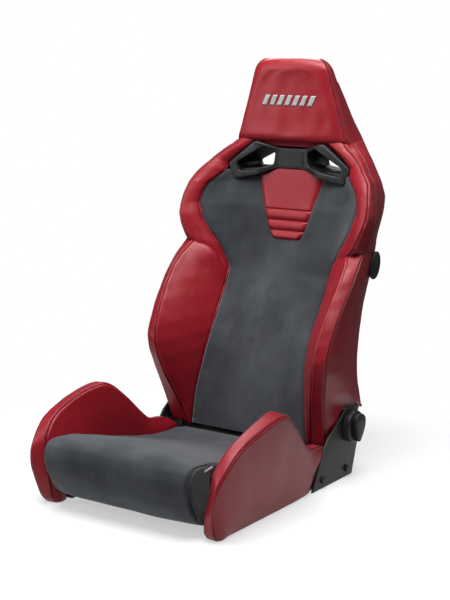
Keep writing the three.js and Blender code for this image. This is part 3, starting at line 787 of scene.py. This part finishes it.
def both_sides(name, body, slot, sewn, seams_shown, material=None, fill=0.7, cutter=None):
    """Makes a padded piece and its stitching for the left, and their mirror images for the right."""
    for side, shape in (("left", sewn), ("right", sewn.mirrored())):
        piece = shape.mesh(f"{name}_{side}_cover", material or LEATHER)
        if cutter:
            trim(piece, cutter)
        dress(piece, body, slot, f"{name}_{side}", fill=fill)
        lines, joints = [], []
        for seam, offsets, both, span in seams_shown:
            lines += shape.seam_lines(seam, offsets, both, span)
            joints += shape.seam_lines(seam, (0,), False, span)
        dress(stitches(f"{name}_{side}_stitching", lines, RED_THREAD), body, slot)
        dress(stitches(f"{name}_{side}_seams", joints, RED_THREAD, 0.8, SEAM_BEAD, SEAM_BEAD + 0.4), body, slot)


CAP_CLEAR = 54  # radius of the cut-out in the leather round the bracket's rounded top
LIP_LIMIT = 231.5  # how far out the bead on the leather's lower edge may lie, beside the hinge plate
COVER_TUCK = 9  # how far the black hinge cover reaches up behind the leather


def lip_line():
    """The lower edge of the side leather, as Y, Z: up in front of the bracket, round its top, down to the rear tip."""
    arc = [(278 + CAP_CLEAR * math.cos(a), 121 + CAP_CLEAR * math.sin(a)) for a in np.radians(np.linspace(158, 62, 15))]
    return [(234, 84), (229.5, 118)] + arc + [(322, 172), (342, 160), (357, 150)]


def trim(piece, outline):
    """Cuts a prism, given by its outline in Y and Z, out of a piece."""
    tool = moulding("cutter", [outline], -400, 400, LEATHER, 0, plane="YZ")
    cut = piece.modifiers.new("cut", "BOOLEAN")
    cut.object = tool
    cut.operation = "DIFFERENCE"
    cut.solver = "EXACT"
    settle(piece)
    bpy.data.objects.remove(tool)


def keep_inside(sewn, limits):
    """Holds the outer side within a limit of X that depends on the height."""
    most = np.interp(sewn.grid[..., 2], [p[0] for p in limits], [p[1] for p in limits])
    sewn.grid[..., 0] = np.minimum(sewn.grid[..., 0], most)


def side_bolsters():
    sewn = Sewn([side_ring(row) for row in BOLSTER], seams=[0, 3, 4, 6, 7, 8, 9], sewn={0, 3, 4},
                puff={0: 7, 1: 2.5, 2: 5}, sections=110, crisp=2)
    inflate(sewn, 0.9, 6)
    sewn.draw_in()
    sewn.wrinkle(0.5, 60, 11)
    keep_inside(sewn, [(178, 235), (215, 243), (250, 262)])
    line = lip_line()
    below = [(234, 60)] + line + [(420, 150), (420, 60)]
    both_sides("side_bolster", "backrest", "red_leather", sewn,
               [(3, (4.6,), False, (0.03, 0.97)), (4, (4.6,), True, (0.03, 0.97))], cutter=below)
    cover = bpy.data.objects["side_bolster_left_cover"]
    tree = BVHTree.FromObject(cover, bpy.context.evaluated_depsgraph_get())
    path = []
    for y, z in line[1:]:
        out = Vector((y - PIVOT_Y, z - PIVOT_Z)).normalized() * 4
        spot, _, _, _ = tree.ray_cast(Vector((400 * MM, (y + out[0]) * MM, (z + max(out[1], 2)) * MM)), Vector((-1, 0, 0)))
        path.append((min(spot.x / MM - 2.2, LIP_LIMIT) if spot else 226, y, z + 1.5))
    bead = cord("side_bolster_left_lip", path, 3.6, LEATHER, 60)
    dress(bead, "backrest", "red_leather")
    dress(flip(bead, "side_bolster_right_lip"), "backrest", "red_leather")


def shoulder_wings():
    sewn = Sewn([side_ring(row) for row in WING], seams=[0, 3, 4, 6, 7, 8, 9], sewn={0, 3, 4},
                puff={0: 8, 1: 4, 2: 4}, sections=130, crisp=2)
    inflate(sewn, 0.9, 5)
    sewn.draw_in()
    sewn.wrinkle(0.5, 60, 12)
    both_sides("shoulder_wing", "backrest", "red_leather", sewn,
               [(3, (4.6,), True, (0.03, 0.97)), (4, (4.6,), True, (0.03, 0.97))])


# ------------------------------------------------------------------ thigh bolsters
def thigh_bolsters():
    """Rings fan round the front corner, from the bottom of the nose over the peak to the low rear shelf.

    Each row: inner foot, inner seam, outer seam, outer foot.
    """
    rows = [
        [(205, -240, 3), (206, -272, 2), (236, -276, 2), (238, -246, 1)],
        [(204, -238, 18), (207, -284, 14), (238, -290, 16), (239, -238, 1)],
        [(203.5, -234, 34), (212, -287, 56), (244, -302, 54), (239, -228, 1)],
        [(203, -228, 46), (223, -283, 108), (250, -312, 93), (239, -215, 1)],
        [(203, -216, 52), (228, -281, 148), (257, -304, 127), (239, -195, 1)],
        [(202, -205, 54), (231, -266, 168), (263, -280, 156), (239, -180, 1)],
        [(201, -190, 54), (234, -249, 184), (267, -252, 182), (239, -160, 1)],
        [(201, -170, 54), (236, -224, 200), (267.5, -214, 199), (239, -140, 1)],
        [(201, -130, 50), (236.6, -166, 219), (269.4, -164, 212), (239, -110, 1)],
        [(201, -95, 46), (234, -118, 229), (269.6, -120, 222), (239, -84, 1)],
        [(201, -75, 44), (229, -86, 233), (269.6, -80, 227), (239, -64, 1)],
        [(201, -55, 43), (227, -62, 231), (267, -54, 226), (239, -45, 1)],
        [(201, -30, 43), (225, -34, 217), (262, -26, 212), (239, -22, 1)],
        [(201, 20, 43), (220, 14, 178), (254, 18, 174), (239, 20, 1)],
        [(201, 50, 43), (216, 50, 142), (247, 52, 139), (239, 50, 1)],
        [(201, 80, 43), (213, 82, 113), (240, 84, 111), (237, 80, 1)],
        [(201, 104, 43), (212, 106, 105), (236, 107, 103), (235, 102, 3)],
        [(201, 134, 50), (211, 136, 102), (234, 137, 101), (234, 128, 44)],
        [(201, 160, 60), (210, 160, 96), (232.5, 161, 95), (233, 156, 60)],
        [(202, 181, 70), (209, 181, 84), (231, 182, 83), (231, 180, 74)],
    ]
    rings = []
    for foot, inner, outer, sole in rows:
        wall = [(foot[i] + inner[i]) / 2 + (-4 if i == 0 else 0) for i in range(3)]
        flank = [(outer[i] + sole[i]) / 2 + (3 if i == 0 else 0) for i in range(3)]
        under = (227.5, sole[1], sole[2])
        shelf = (227.5, sole[1], max(sole[2] + 2, foot[2] - 3))
        rings.append([foot, wall, inner, outer, flank, sole, under, shelf])
    sewn = Sewn(rings, seams=[0, 2, 3, 5, 6, 7], sewn={2, 3}, puff={0: 5, 1: 3, 2: 4}, sections=120)
    inflate(sewn, 0.9, 5)
    sewn.draw_in()
    sewn.wrinkle(0.3, 90, 13)
    both_sides("thigh_bolster", "base", "red_leather", sewn,
               [(2, (4.6,), False, (0.02, 0.98)), (3, (4.6,), True, (0.02, 0.98))])


# ------------------------------------------------------------------ seat cushion
def seat_cushion():
    """Rings lie across the seat and follow its outline from the tail over the top and round the nose."""
    outline = [(191, 48), (191, 66), (176, 78), (110, 79), (49, 88), (-65, 113), (-183, 147), (-245, 161),
               (-296, 165), (-326, 153), (-335, 128), (-330, 98), (-313, 62), (-286, 32), (-255, 15), (-249, 24)]
    half = [194, 194, 194, 194, 194, 194, 194, 194, 193, 192, 191, 191, 191, 191, 190, 188]
    outline = np.array(outline, float)
    inward = np.gradient(outline, axis=0)
    inward = np.stack([-inward[:, 1], inward[:, 0]], axis=1)
    inward /= np.linalg.norm(inward, axis=1, keepdims=True)
    thick = np.interp(range(len(outline)), [0, 2, 4, 8, 12, 15], [8, 22, 34, 40, 34, 6])
    rings = []
    for (y, z), (iy, iz), w, deep in zip(outline, inward, half, thick):
        drop = 0.16 * deep
        edge_y, edge_z = y + iy * drop, z + iz * drop
        low_y, low_z = y + iy * deep, z + iz * deep
        rings.append([(-w, edge_y, edge_z), (-w * 0.8, y, z), (0, y + iy * 3, z + iz * 3), (w * 0.8, y, z),
                      (w, edge_y, edge_z), (w - 2, low_y, low_z), (2 - w, low_y, low_z)])
    sewn = Sewn(rings, seams=[0, 4, 5, 6], sewn={0, 4}, puff={0: 3}, sections=96, spacing=9)
    inflate(sewn, 0.7, 7)
    sewn.draw_in()
    sewn.wrinkle(0.9, 90, 21)
    x, y, z = sewn.grid[..., 0], sewn.grid[..., 1], sewn.grid[..., 2]
    patch = np.exp(-(((x - 45) / 80) ** 2) - ((y - 70) / 65) ** 2) * (z > 60)
    sewn.move(1.8 * patch * np.sin((x * 0.55 + y + 6 * np.sin(x / 30)) / 7.5))  # the cover lies in soft folds here
    piece = sewn.mesh("seat_cushion_cover", SUEDE)
    dress(piece, "base", "suede", "seat_cushion", fill=0.75)


def cushion_gussets():
    outline = [(-252, 20), (-284, 36), (-300, 64), (-317, 98), (-322, 126), (-312, 148), (-290, 157), (-252, 150)]
    for side, x0, x1 in (("left", 194.4, 201), ("right", -201, -194.4)):
        piece = moulding(f"cushion_gusset_{side}_cover", [rounded(outline, 12)], x0, x1, CLOTH, 2, plane="YZ")
        dress(piece, "base", "black_cloth", f"cushion_gusset_{side}", fill=0.5)


# ------------------------------------------------------------------ centre panel and insert
CENTRE = [(84, 194), (200, 215), (300, 250), (400, 300), (473, 345), (544, 372), (602, 380), (705, 394), (722, 397)]
EDGE = [row[0] for row in BOLSTER] + [row[0] for row in WING[1:11]]
INSERT = [(544, 44), (572, 57), (602, 67), (632, 77), (662, 87), (704, 97), (717, 100)]
PAD_TOP = 704
PAD_TUCK = [(0, 13), (41, 13), (66, 0), (200, 0)]  # how much higher the pad ends behind the belt guide


def smooth_profile(profile, degree=1):
    """A profile read through a spline, so that the panel has no creases at its stations."""
    line = spline(refine(profile, 2), np.linspace(0, 1, 400))
    return lambda at: float(np.interp(at, line[:, 0], line[:, 1]))


middle_at = smooth_profile(CENTRE)
half_at = smooth_profile([(z, x) for x, _, z in EDGE])
side_at = smooth_profile([(z, y) for _, y, z in EDGE])


def panel_y(x, z):
    """The front of the centre panel: flat in the middle, sweeping forward to the bolsters."""
    part = min(1.0, abs(x) / half_at(z))
    power = float(np.interp(z, [620, 690], [2.6, 6.0]))
    return middle_at(z) + (side_at(z) - middle_at(z)) * part**power


def tucked(x, z):
    """Stretches the top of the pad up behind the lower edge of the belt guide."""
    share = min(1, max(0, (z - PAD_TOP + 24) / 24))
    return z + share * read(PAD_TUCK, abs(x))


def back_panel():
    rows = []
    heights = np.linspace(85, 704, 124)
    for z in heights:
        half = half_at(z) - 0.6
        front = [(u * half, panel_y(u * half, tucked(u * half, z)), tucked(u * half, z)) for u in np.linspace(-1, 1, 61)]
        side = side_at(z) + 24
        rows.append(front + [(half, side, z), (0, middle_at(z) + 26, tucked(0, z)), (-half, side, z)])
    grid = np.array(rows)
    front = grid[:, :61]
    n = normals(front, False)
    n *= -np.sign(n[..., 1:2])
    across = np.linspace(-1, 1, 61)
    from_edge = (1 - np.abs(across)) * np.array([half_at(z) for z in heights])[:, None]
    lift = -GROOVE * 1.6 * np.exp(-((from_edge / 3.5) ** 2)) + 1.2 * ripple(front, 110, 31)
    insert_half = np.interp(heights, [p[0] for p in INSERT], [p[1] for p in INSERT])
    inside = np.minimum(insert_half[:, None] - np.abs(front[..., 0]), front[..., 2] - 538)
    lift -= 8 / (1 + np.exp(-(inside - 5) / 1.6))
    grid[:, :61] = front + n * lift[..., None]
    count = grid.shape[1]
    faces = []
    for r in range(len(grid) - 1):
        for c in range(count):
            d = (c + 1) % count
            faces.append((r * count + c, r * count + d, (r + 1) * count + d, (r + 1) * count + c))
    faces.append(tuple(range(count)))
    faces.append(tuple((len(grid) - 1) * count + c for c in range(count)))
    piece = make("back_pad_cover", grid.reshape(-1, 3), faces, SUEDE, sharp=60)
    dress(piece, "backrest", "suede", "back_pad", fill=0.7)


def upper_insert():
    """A leather insert with three padded ribs across its lower end."""
    ribs = [612, 586, 561]
    rounded_foot = 18
    heights = np.concatenate([np.linspace(703, 616, 34), np.linspace(615, 537, 66)])
    across = np.concatenate([[-1, -0.99, -0.975, -0.95], np.linspace(-0.92, 0.92, 31), [0.95, 0.975, 0.99, 1]])
    grid, lift = [], []
    for z in heights:
        half = float(np.interp(z, [p[0] for p in INSERT], [p[1] for p in INSERT]))
        foot = max(0.0, 1 - (z - 537) / rounded_foot)
        half -= rounded_foot * 1.1 * (1 - math.sqrt(max(0.0, 1 - foot**2)))
        swell = 1.2
        cuts = [705, *ribs, 536]
        for top, low in zip(cuts[1:], cuts[2:]):
            if low <= z <= top:
                swell = 4.2 * (1 - abs(2 * (z - low) / (top - low) - 1) ** 2.6)
        for rib in ribs:
            swell -= 2.2 * math.exp(-(((z - rib) / 1.6) ** 2))
        ends = min(1.0, (z - 537) / 7, (704 - z) / 4)
        grid.append([(u * half, panel_y(u * half, tucked(u * half, z)), tucked(u * half, z)) for u in across])
        edge = 1 - np.abs(across) ** 14
        rise = -6 + (6 + swell) * np.minimum(edge, max(0.0, ends) ** 0.5)
        lift.append(rise)
    grid, lift = np.array(grid), np.array(lift)
    n = normals(grid, False)
    n *= -np.sign(n[..., 1:2])
    front = grid + n * lift[..., None]
    rear = grid + np.array([0, 14, 0])
    rows, columns = front.shape[:2]
    verts = np.concatenate([front.reshape(-1, 3), rear.reshape(-1, 3)])
    faces = []
    size = rows * columns
    for r in range(rows - 1):
        for c in range(columns - 1):
            q = (r * columns + c, r * columns + c + 1, (r + 1) * columns + c + 1, (r + 1) * columns + c)
            faces += [q, tuple(i + size for i in reversed(q))]
    rim = [c for c in range(columns)] + [r * columns + columns - 1 for r in range(1, rows)]
    rim += [(rows - 1) * columns + c for c in range(columns - 2, -1, -1)] + [r * columns for r in range(rows - 2, 0, -1)]
    for a, b in zip(rim, rim[1:] + rim[:1]):
        faces.append((a, b, b + size, a + size))
    piece = make("upper_insert_cover", verts, faces, LEATHER)
    dress(piece, "backrest", "red_leather", "upper_insert", fill=0.6)


# ------------------------------------------------------------------ headrest
HEAD_HALF = [(768, 164), (782, 157), (795, 151), (805, 147), (827, 141), (861, 131), (895, 120), (928, 111),
             (950, 105), (980, 98)]
HEAD_TOP = 979.5
HEAD_ROUND = 27  # radius of the headrest's top edge


def headrest():
    turns = np.radians([0, 15, 30, 45, 58, 70, 80, 87])
    heights = [768, 776, 786, 800, 820, 845, 870, 895, 920, 938]
    stations = [(z, 0.0) for z in heights]
    stations += [(HEAD_TOP - HEAD_ROUND * (1 - math.sin(a)), 1 - math.cos(a)) for a in turns]
    rows = []
    for z, turned_in in stations:
        half = read(HEAD_HALF, z) - HEAD_ROUND * turned_in
        tuck = max(0.0, (790 - z) / 15)
        rear = read(REAR_FACE, z) - (3 if z > 945 else RIM) - 8 * turned_in
        rear_half = min(read(REAR_HALF, z), read(HEAD_HALF, z) + 6) - 20 * turned_in
        face = 378 + 15 * turned_in + 18 * min(1, tuck) ** 2
        front = [(half - 16, face), (half + 1, face + 11 - 7 * min(1, tuck))]
        behind = [((half + rear_half) / 2 + 3, (face + 9 + rear) / 2), (rear_half, rear)]
        inner = [(rear_half - 14, rear), (rear_half - 16, 418 if z < 930 else rear - 2)]
        right = front + behind + inner
        rows.append([(x, y, z) for x, y in right] + [(-x, y, z) for x, y in reversed(right)])
    sewn = Sewn(rows, seams=[1, 3, 4, 5, 6, 7, 8, 10], sewn={1, 10}, puff={7: 4, 0: 3, 6: 3}, sections=90, round_off=1.5, crisp=0)
    inflate(sewn, 0.8, 5)
    sewn.draw_in()
    sewn.wrinkle(0.4, 60, 41)
    piece = sewn.mesh("headrest_cover", LEATHER)
    dress(piece, "backrest", "red_leather", "headrest_pad", fill=0.8)
    lines = sewn.seam_lines(1, (4.6,), True, (0.06, 0.9)) + sewn.seam_lines(10, (4.6,), True, (0.06, 0.9))
    dress(stitches("headrest_stitching", lines, RED_THREAD), "backrest", "red_leather")
    joints = sewn.seam_lines(1, (0,), False, (0.02, 0.9)) + sewn.seam_lines(10, (0,), False, (0.02, 0.9))
    dress(stitches("headrest_seams", joints, RED_THREAD, 0.8, SEAM_BEAD, SEAM_BEAD + 0.4), "backrest", "red_leather")
    emblem(piece)


def on_surface(tree, x, z, start=300):
    """The point of a surface met by looking straight back along +Y, and its normal."""
    spot, normal, _, _ = tree.ray_cast(Vector((x * MM, start * MM, z * MM)), Vector((0, 1, 0)))
    return np.array(spot) / MM, np.array(normal)


def emblem(cover):
    """A plain embroidered pattern of slanted bars in the middle of the headrest."""
    tree = BVHTree.FromObject(cover, bpy.context.evaluated_depsgraph_get())
    bars, wide, pitch, low, high, slant = 7, 13, 21.5, 868, 893, 6
    verts, faces = [], []
    across, upward = np.linspace(-1, 1, 7), np.linspace(0, 1, 9)
    for k in range(bars):
        middle = (k - (bars - 1) / 2) * pitch
        base = len(verts)
        for layer in (1.0, -1.5):
            for v in upward:
                for u in across:
                    x = middle + u * wide / 2 + (v - 0.5) * slant * 2
                    spot, normal = on_surface(tree, x, low + v * (high - low))
                    edge = min(1 - abs(u), v, 1 - v) * 3
                    lift = 0.15 + 0.8 * min(1, edge) ** 0.5 if layer > 0 else layer
                    verts.append(spot + normal * lift)
        size = len(across) * len(upward)
        faces += shell_faces(len(upward), len(across), base, base + size)
    piece = make("headrest_emblem", verts, faces, GREY_THREAD)
    dress(piece, "backrest", "red_leather")


def shell_faces(rows, columns, front, rear):
    """Faces of a closed sheet: a front grid, a rear grid and the rim between them."""
    faces = []
    for r in range(rows - 1):
        for c in range(columns - 1):
            quad = [r * columns + c, r * columns + c + 1, (r + 1) * columns + c + 1, (r + 1) * columns + c]
            faces += [tuple(front + q for q in quad), tuple(rear + q for q in reversed(quad))]
    rim = list(range(columns)) + [r * columns + columns - 1 for r in range(1, rows)]
    rim += [(rows - 1) * columns + c for c in range(columns - 2, -1, -1)]
    rim += [r * columns for r in range(rows - 2, 0, -1)]
    for a, b in zip(rim, rim[1:] + rim[:1]):
        faces.append((front + a, front + b, rear + b, rear + a))
    return faces


# ------------------------------------------------------------------ belt guides
GUIDE = [(177, 719), (97, 779), (38, 763), (-38, 763), (-97, 779), (-177, 719), (-157, 680), (-88, 695), (-41, 712),
         (41, 712), (88, 695), (157, 680)]
GUIDE_OPENING = [(46, 752), (73, 766), (151, 722), (143, 701), (100, 707), (50, 721)]
GUIDE_THROAT = [(60, 742), (76, 754), (137, 723), (133, 711), (107, 711), (62, 719)]
REAR_GUIDE = [(150, 704), (139, 744), (104, 768), (-104, 768), (-139, 744), (-150, 704)]


def swap(outline, way):
    return [(x * way, z) for x, z in outline]


def bow(piece, amount=17, start=34, end=92):
    """Sets the middle of a belt guide back between the shoulders of the pad."""
    for v in piece.data.vertices:
        x, y = abs(v.co.x) / MM, v.co.y / MM
        t = 1 - min(1, max(0, (x - start) / (end - start)))
        fade = min(1, max(0, (456 - y) / 60))
        v.co.y += amount * t * t * (3 - 2 * t) * fade * MM
    return piece


def throat(name, front, rear, low, high, wall, material):
    """A tapered tube between two outlines."""
    def grown(outline, by):
        middle = np.mean(outline, axis=0)
        return [tuple(np.array(p) + (np.array(p) - middle) / np.linalg.norm(np.array(p) - middle) * by) for p in outline]

    rings = []
    stations = [(t, low + (high - low) * t) for t in np.linspace(0, 1, 9)]
    for extra, order in ((0, stations), (wall, list(reversed(stations)))):
        for t, y in order:
            mix = [(a[0] + (b[0] - a[0]) * t, a[1] + (b[1] - a[1]) * t) for a, b in zip(front, rear)]
            rings.append([(x, y, z) for x, z in rounded(grown(mix, extra), 6)])
    count = len(rings[0])
    verts = [v for ring in rings for v in ring]
    faces = []
    for r in range(len(rings)):
        q = (r + 1) % len(rings)
        for c in range(count):
            d = (c + 1) % count
            faces.append((r * count + c, r * count + d, q * count + d, q * count + c))
    return make(name, verts, faces, material, sharp=40)


def belt_guides():
    holes = [rounded(swap(GUIDE_OPENING, way), 7) for way in (1, -1)]
    plate = moulding("belt_guide_front_bezel", [rounded(GUIDE, 9)] + holes, 375, 392, PLASTIC, 3)
    split(plate)
    dress(bow(plate), "backrest", "black_plastic", "belt_guide_front")
    for side, way in (("left", 1), ("right", -1)):
        tube = throat(f"belt_guide_{side}_throat", swap(GUIDE_OPENING, way), swap(GUIDE_THROAT, way),
                      382, 456, 3, PLASTIC)
        dress(bow(tube), "backrest", "black_plastic")
    bar = moulding("belt_guide_centre_bar", [rounded([(-36, 717), (36, 717), (34, 758), (-34, 758)], 6)],
                   373.8, 378, PLASTIC, 1)
    split(bar)
    dress(bow(bar), "backrest", "black_plastic")
    holes = [rounded(swap(GUIDE_THROAT, way), 6) for way in (1, -1)]
    rear = moulding("belt_guide_rear_bezel", [rounded(REAR_GUIDE, 8)] + holes, 456.5, 476, PLASTIC, 2.5)
    dress(rear, "backrest", "black_plastic", "belt_guide_rear")


def split(piece, size=9):
    """Divides the flat faces so that they can bend."""
    bm = bmesh.new()
    bm.from_mesh(piece.data)
    bmesh.ops.triangulate(bm, faces=[f for f in bm.faces if len(f.verts) > 4])
    for at in np.arange(-180, 181, size):
        geometry = bm.verts[:] + bm.edges[:] + bm.faces[:]
        bmesh.ops.bisect_plane(bm, geom=geometry, plane_co=(at * MM, 0, 0), plane_no=(1, 0, 0), dist=1e-6)
    bm.to_mesh(piece.data)
    bm.free()
    piece.data.polygons.foreach_set("use_smooth", [True] * len(piece.data.polygons))
    piece.data.set_sharp_from_angle(angle=math.radians(35))


# ------------------------------------------------------------------ rear shell
SHELL = 4
SHELL_SKIRT = 8


def rear_shell():
    """One moulding over the whole back, with rounded sides, a raised field and the belt guide let into it."""
    heights = np.linspace(151.5, 925.5, 150)
    across = np.concatenate([np.linspace(-1, -0.9, 9)[:-1], np.linspace(-0.9, 0.9, 61), np.linspace(0.9, 1, 9)[1:]])
    line = smooth_profile(REAR_FACE)
    width = smooth_profile(REAR_HALF)
    outer, inner = [], []
    for z in heights:
        w, y = width(z), line(z)
        row, lining = [], []
        for u in across:
            x = u * w
            corner = max(0.0, (abs(x) - (w - 14)) / 14)
            drop = (SHELL_SKIRT + 0.3) * (1 - math.sqrt(max(0.0, 1 - corner**2)))
            inset = min(w - 30 - abs(x), z - 190, 660 - z)
            field = 2.2 / (1 + math.exp(-inset / 1.8))
            row.append((x, y - drop - 2.4 + field, z))
            lining.append((x * (w - SHELL) / w, y - drop - SHELL - 3 + field * 0.4, z))
        outer.append(row)
        inner.append(lining)
    outer, inner = np.array(outer), np.array(inner)
    rows, columns = outer.shape[:2]
    verts = np.concatenate([outer.reshape(-1, 3), inner.reshape(-1, 3)])
    piece = make("rear_shell_moulding", verts, shell_faces(rows, columns, 0, rows * columns), PLASTIC, sharp=40)
    hole = [tuple(p) for p in rounded([(x * 1.012, (z - 737) * 1.02 + 737) for x, z in REAR_GUIDE], 9)]
    tool = moulding("cutter", [hole], 430, 520, PLASTIC, 0)
    cut = piece.modifiers.new("cut", "BOOLEAN")
    cut.object = tool
    cut.solver = "EXACT"
    settle(piece)
    bpy.data.objects.remove(tool)
    dress(piece, "backrest", "black_plastic", "rear_shell")


# ------------------------------------------------------------------ hinge plates, dial and levers
BRACKET = [(290, 0), (105, 0), (154, 87), (176, 113)]


def brackets():
    start, end, r = 2.15, -0.3, 50
    cap = [(PIVOT_Y + 3 + r * math.cos(a), PIVOT_Z - 3 + r * math.sin(a)) for a in np.linspace(start, end, 40)]
    outline = BRACKET + cap
    plate = moulding("side_bracket_left_plate", [outline], 236, 241, BRACKET_PAINT, 1.2, plane="YZ")
    dress(plate, "base", "bracket_paint", "side_bracket_left")
    dress(flip(plate, "side_bracket_right_plate"), "base", "bracket_paint", "side_bracket_right")


def dial():
    skirt = [(237, 0), (237, 6), (242.6, 6), (242.6, 36.5), (244, 38), (256.5, 38), (258.5, 37.2), (260, 35.5),
             (261, 33), (261, 30.5), (260, 29), (260, 0)]
    piece = turned("recline_dial_skirt", skirt, PIVOT_Y, PIVOT_Z, PLASTIC, 96)
    dress(piece, "dial", "black_plastic", "recline_dial")
    grip = [(-23, 24), (-8, 33), (12, 32), (26, 19), (24, -2), (12, -22), (0, -36), (-9, -33), (-17, -8)]
    outline = rounded([(PIVOT_Y + y, PIVOT_Z + z) for y, z in grip], 9)
    piece = moulding("recline_dial_grip", [outline], 259, 272.6, PLASTIC, 3, plane="YZ")
    dress(piece, "dial", "black_plastic")
    field = rounded([(PIVOT_Y + y * 0.72, PIVOT_Z + z * 0.78) for y, z in grip], 7)
    piece = moulding("recline_dial_field", [field], 271, 273, PLASTIC, 0.9, plane="YZ")
    dress(piece, "dial", "black_plastic")
    for k in range(36):
        a = 2 * math.pi * k / 36
        middle = (PIVOT_Y + 37.6 * math.cos(a), PIVOT_Z + 37.6 * math.sin(a))
        rib = cord(f"recline_dial_rib_{k}", [(246, *middle), (250, *middle), (255.5, *middle)], 0.9, PLASTIC, 3)
        dress(rib, "dial", "black_plastic")
    cover = [(241.3, 0), (241.3, 30), (246.5, 30), (249, 28.5), (251, 25), (252.2, 18), (252.4, 0)]
    piece = turned("hinge_cover_dome", [(-x, r) for x, r in cover], PIVOT_Y, PIVOT_Z, PLASTIC, 72)
    dress(piece, "base", "black_plastic", "hinge_cover_right")


def hinge_covers():
    """Black covers that turn with the backrest and close the gap between the leather and the hinge plates."""
    turn = np.linspace(0, 2 * math.pi, 72, endpoint=False)
    outer, inner = (np.array([(PIVOT_Y + r * math.cos(a), PIVOT_Z + r * math.sin(a)) for a in turn]) for r in (61, 37))
    lip = [(y, z + COVER_TUCK) for y, z in lip_line() if y > PIVOT_Y]
    front = [tuple(p) for p in outer if p[0] <= PIVOT_Y and p[1] >= PIVOT_Z]
    below = [tuple(p) for p in outer if p[1] < PIVOT_Z]
    outline = front[::-1] + lip[:-1] + [(366, 160), (366, 151), (352, 134)] + below[::-1]
    for side, way in (("left", 1), ("right", -1)):
        low, high = sorted((way * 204, way * 219))
        cover = moulding(f"hinge_cover_ring_{side}", [outline, inner], low, high, PLASTIC, 1.5, plane="YZ")
        dress(cover, "backrest", "black_plastic")


def oval(y, z, ry, rz, tilt, count=48):
    turn = np.linspace(0, 2 * math.pi, count, endpoint=False)
    a, b = ry * np.cos(turn), rz * np.sin(turn)
    return list(zip(y + a * math.cos(tilt) - b * math.sin(tilt), z + a * math.sin(tilt) + b * math.cos(tilt)))


def levers():
    for side, flipped in (("left", False), ("right", True)):
        parts = [
            (moulding("knob", [oval(374, 497, 22, 34, -0.3)], 243, 252, PLASTIC, 3.6, plane="YZ"),
             f"tilt_lever_{side}_knob", f"lever_{side}", f"tilt_lever_{side}"),
            (moulding("face", [oval(374, 497, 14, 25, -0.3)], 250.8, 252.8, PLASTIC, 0.9, plane="YZ"),
             f"tilt_lever_{side}_face", f"lever_{side}", None),
            (moulding("boss", [oval(373, 496, 18, 28, -0.3)], 229, 242.6, PLASTIC, 1.5, plane="YZ"),
             f"lever_housing_{side}_boss", "backrest", f"lever_housing_{side}"),
        ]
        for piece, name, body, node in parts:
            if flipped:
                other = flip(piece, name)
                bpy.data.objects.remove(piece)
                piece = other
            piece.name = name
            dress(piece, body, "black_plastic", *([node] if node else []))


TRAY_FROM, TRAY_TO = 213, 321  # degrees round the hinge, from the cushion's tail to the rear of the base
TRAY_R = (93, 96.5)


def tails():
    """Black cloth rolls under the back pad and behind the cushion, which close the gap between the two.

    The cushion's roll, and the curved tray below, keep outside the circle that the foot of the pad turns through. The
    rolls and the tray close the gap, and their black is painted shade: it stands in for the shadow in the gap and the
    slit.
    """
    # black cloth roll under the back pad; its black is painted shade for the gap
    outline = [(213, 100), (229, 100), (231, 66), (222, 59), (213, 66)]
    roll = moulding("back_pad_tail", [rounded(outline, 6)], -209, 209, CLOTH, 3, plane="YZ")
    dress(roll, "backrest", "black_cloth", fill=0.3)
    # black cloth roll behind the cushion; its black is painted shade for the gap
    outline = [(186, 72), (196, 72), (201, 65), (205.5, 59), (211, 53), (206, 46), (186, 46)]
    roll = moulding("seat_cushion_tail", [rounded(outline, 3)], -190, 190, CLOTH, 1.5, plane="YZ")
    dress(roll, "base", "black_cloth", fill=0.3)
    # black tray below the rolls; its black is painted shade, seen through the slit between them
    turn = np.radians(np.linspace(TRAY_FROM, TRAY_TO, 40))
    inside, outside = ([(PIVOT_Y + r * math.cos(a), PIVOT_Z + r * math.sin(a)) for a in turn] for r in TRAY_R)
    tray = moulding("rear_tray", [inside + outside[::-1]], -190, 190, PLASTIC, 1, plane="YZ")
    dress(tray, "base", "black_plastic")


def cushion_tag():
    tag = moulding("cushion_tag", [rounded([(-242, 150), (-242, 145), (-272, 142), (-272, 147)], 1)],
                   200.6, 201.6, LABEL, 0.3, plane="YZ")
    dress(tag, "base", "black_cloth")


side_bolsters()
shoulder_wings()
thigh_bolsters()
seat_cushion()
cushion_gussets()
back_panel()
upper_insert()
headrest()
belt_guides()
rear_shell()
brackets()
dial()
levers()
hinge_covers()
tails()
cushion_tag()
